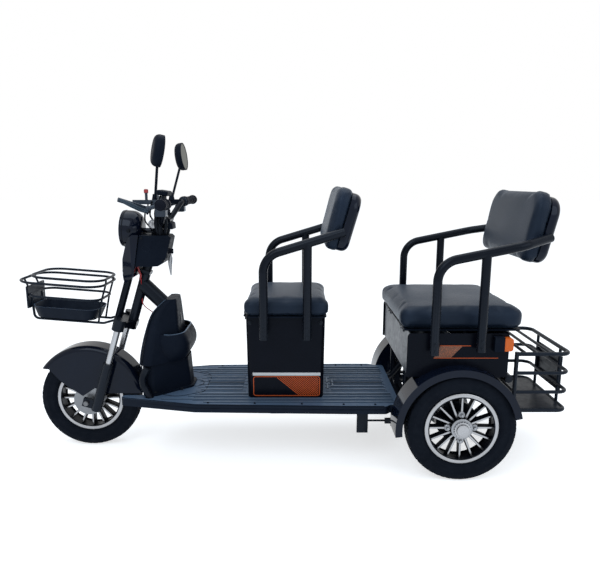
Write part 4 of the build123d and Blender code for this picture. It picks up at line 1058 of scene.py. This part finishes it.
def make_cover_details():
    """Outlined recess and two bolts on each side of the head cover."""
    mesh = bmesh.new()
    outline = [(256, 838), (266, 853), (292, 838), (278, 824)]
    for side in (1, -1):
        plane = SidePlane(side, 77, 0, 0, 0.2)
        for a, b in zip(outline, outline[1:] + outline[:1]):
            strip(mesh, plane, a, b, 1.6)
    add_piece("cover_recess", mesh, "steering", "plain_black", "deck_top")
    mesh = bmesh.new()
    for side in (1, -1):
        for s, half, z in ((258, 77, 880), (330, 56, 790)):
            bolt(mesh, at(s, side * half, z), (0, side, 0), 0.004, 0.003)
    add_piece("cover_bolts", mesh, "steering", "plain_black", "cable_black")


def both_sides(mesh, places, radius):
    """The same round bead on the left and on the right."""
    for side in (1, -1):
        add_cable(mesh, [(s, side * y, z) for s, y, z in places], radius)


def make_shield_details():
    """Rolled lip of the leg pocket, moulded edges of the shield and its screws."""
    mesh = bmesh.new()
    rim = [(340, 122), (362, 125), (388, 113), (405, 90), (411, 62), (411, 30), (411, 0)]
    both_sides(mesh, [(s, y, 503) for s, y in rim], 3.4)
    belt = [(334, 119), (364, 121), (392, 109), (410, 86), (418, 58), (418, 28), (418, 0)]
    both_sides(mesh, [(s, y, 482) for s, y in belt], 1.8)
    # The pocket lip takes the lighter rib finish as a painted highlight.
    add_piece("pocket_lip", mesh, "chassis", "plain_black", "deck_rib_highlight")
    mesh = bmesh.new()
    edge = [(251, 160, 394), (256, 153, 440), (268, 130, 508), (292, 96, 585), (338, 59, 632)]
    both_sides(mesh, edge, 3)
    both_sides(mesh, [(254, 138, 262), (252, 139, 330), (251, 139, 386)], 2.4)
    # The shield's edges take the lighter rib finish as a painted highlight.
    add_piece("shield_edges", mesh, "chassis", "plain_black", "deck_rib_highlight")
    mesh = bmesh.new()
    for side in (1, -1):
        bolt(mesh, at(300, side * 138, 272), (0, side, 0.2), 0.0045, 0.003)
        bolt(mesh, at(396, side * 92, 272), (0, side, 0.2), 0.0045, 0.003)
        bolt(mesh, at(251, side * 60, 420), (1, 0, 0), 0.0045, 0.003)
    add_piece("shield_screws", mesh, "chassis", "plain_black", "cable_black")


def make_box_details():
    """Side latches of the driver's box, and the bolts of the armrests' posts."""
    mesh = bmesh.new()
    latch = [(0, 0), (0.008, 0), (0.008, 0.003), (0.005, 0.005), (0, 0.005)]
    for side in (1, -1):
        for station in (681, 952):
            add_lathe(mesh, latch, at(station, side * 169, 566), (0, side, 0), 24)
        for station in (737, 899):
            for height in (526, 556):
                bolt(mesh, at(station, side * 244.5, height), (0, side, 0), 0.006, 0.004)
        for station, low in ((1354, 500), (1521, 512)):
            for height in (low, low + 26):
                bolt(mesh, at(station, side * 339.5, height), (0, side, 0), 0.006, 0.004)
    add_piece("post_bolts", mesh, "chassis", "frame_paint")


make_cables()
make_switchgear()
make_horn_and_key()
make_headlight()
make_cover_details()
make_shield_details()
make_box_details()


# ------------------------------------------------------------------ floor and light
def shows_white(tree):
    """1 for what the camera, a reflection or clear material sees directly."""
    rays = tree.nodes.new("ShaderNodeLightPath")
    first = tree.nodes.new("ShaderNodeMath")
    first.operation = "MAXIMUM"
    tree.links.new(rays.outputs["Is Camera Ray"], first.inputs[0])
    tree.links.new(rays.outputs["Is Glossy Ray"], first.inputs[1])
    second = tree.nodes.new("ShaderNodeMath")
    second.operation = "MAXIMUM"
    tree.links.new(first.outputs["Value"], second.inputs[0])
    tree.links.new(rays.outputs["Is Transmission Ray"], second.inputs[1])
    return second.outputs["Value"]


def make_floor():
    """Pale floor that keeps the shadow, white to the camera."""
    bpy.ops.mesh.primitive_plane_add(size=60, location=(0, 0, 0))
    floor = bpy.context.object
    floor.name = "floor"
    material, tree, shader = node_tree("floor_white")
    shader.inputs["Base Color"].default_value = (0.82, 0.82, 0.82, 1.0)
    shader.inputs["Roughness"].default_value = 0.95
    shader.inputs["Specular IOR Level"].default_value = 0.0
    shader.inputs["Emission Color"].default_value = (1, 1, 1, 1)
    scaled = tree.nodes.new("ShaderNodeMath")
    scaled.operation = "MULTIPLY"
    scaled.inputs[1].default_value = 0.62
    tree.links.new(shows_white(tree), scaled.inputs[0])
    tree.links.new(scaled.outputs["Value"], shader.inputs["Emission Strength"])
    floor.data.materials.append(material)


daylight = (0.84, 0.92, 1.0)


def make_light():
    """Pale blue studio round the object, white to the camera, with three area lamps."""
    world = bpy.data.worlds.new("studio")
    world.use_nodes = True
    bpy.context.scene.world = world
    tree = world.node_tree
    background = tree.nodes["Background"]
    white = tree.nodes.new("ShaderNodeBackground")
    white.inputs["Color"].default_value = (1, 1, 1, 1)
    white.inputs["Strength"].default_value = 1.0
    background.inputs["Color"].default_value = (*daylight, 1)
    background.inputs["Strength"].default_value = 0.6
    mix = tree.nodes.new("ShaderNodeMixShader")
    tree.links.new(shows_white(tree), mix.inputs["Fac"])
    tree.links.new(background.outputs["Background"], mix.inputs[1])
    tree.links.new(white.outputs["Background"], mix.inputs[2])
    tree.links.new(mix.outputs["Shader"], tree.nodes["World Output"].inputs["Surface"])
    for name, place, size, power in (
        ("key", (1.5, 3.2, 3.6), 2.6, 60),
        ("fill", (-2.6, 2.6, 2.4), 2.4, 30),
        ("top", (0.0, -0.6, 4.2), 3.4, 60),
    ):
        data = bpy.data.lights.new(name, "AREA")
        data.size = size
        data.energy = power
        data.color = daylight
        lamp = bpy.data.objects.new(name, data)
        lamp.location = place
        aim = Vector((0, 0, 0.5)) - Vector(place)
        lamp.rotation_euler = aim.to_track_quat("-Z", "Y").to_euler()
        bpy.context.scene.collection.objects.link(lamp)


make_floor()
make_light()
bpy.context.scene.view_settings.view_transform = "Standard"
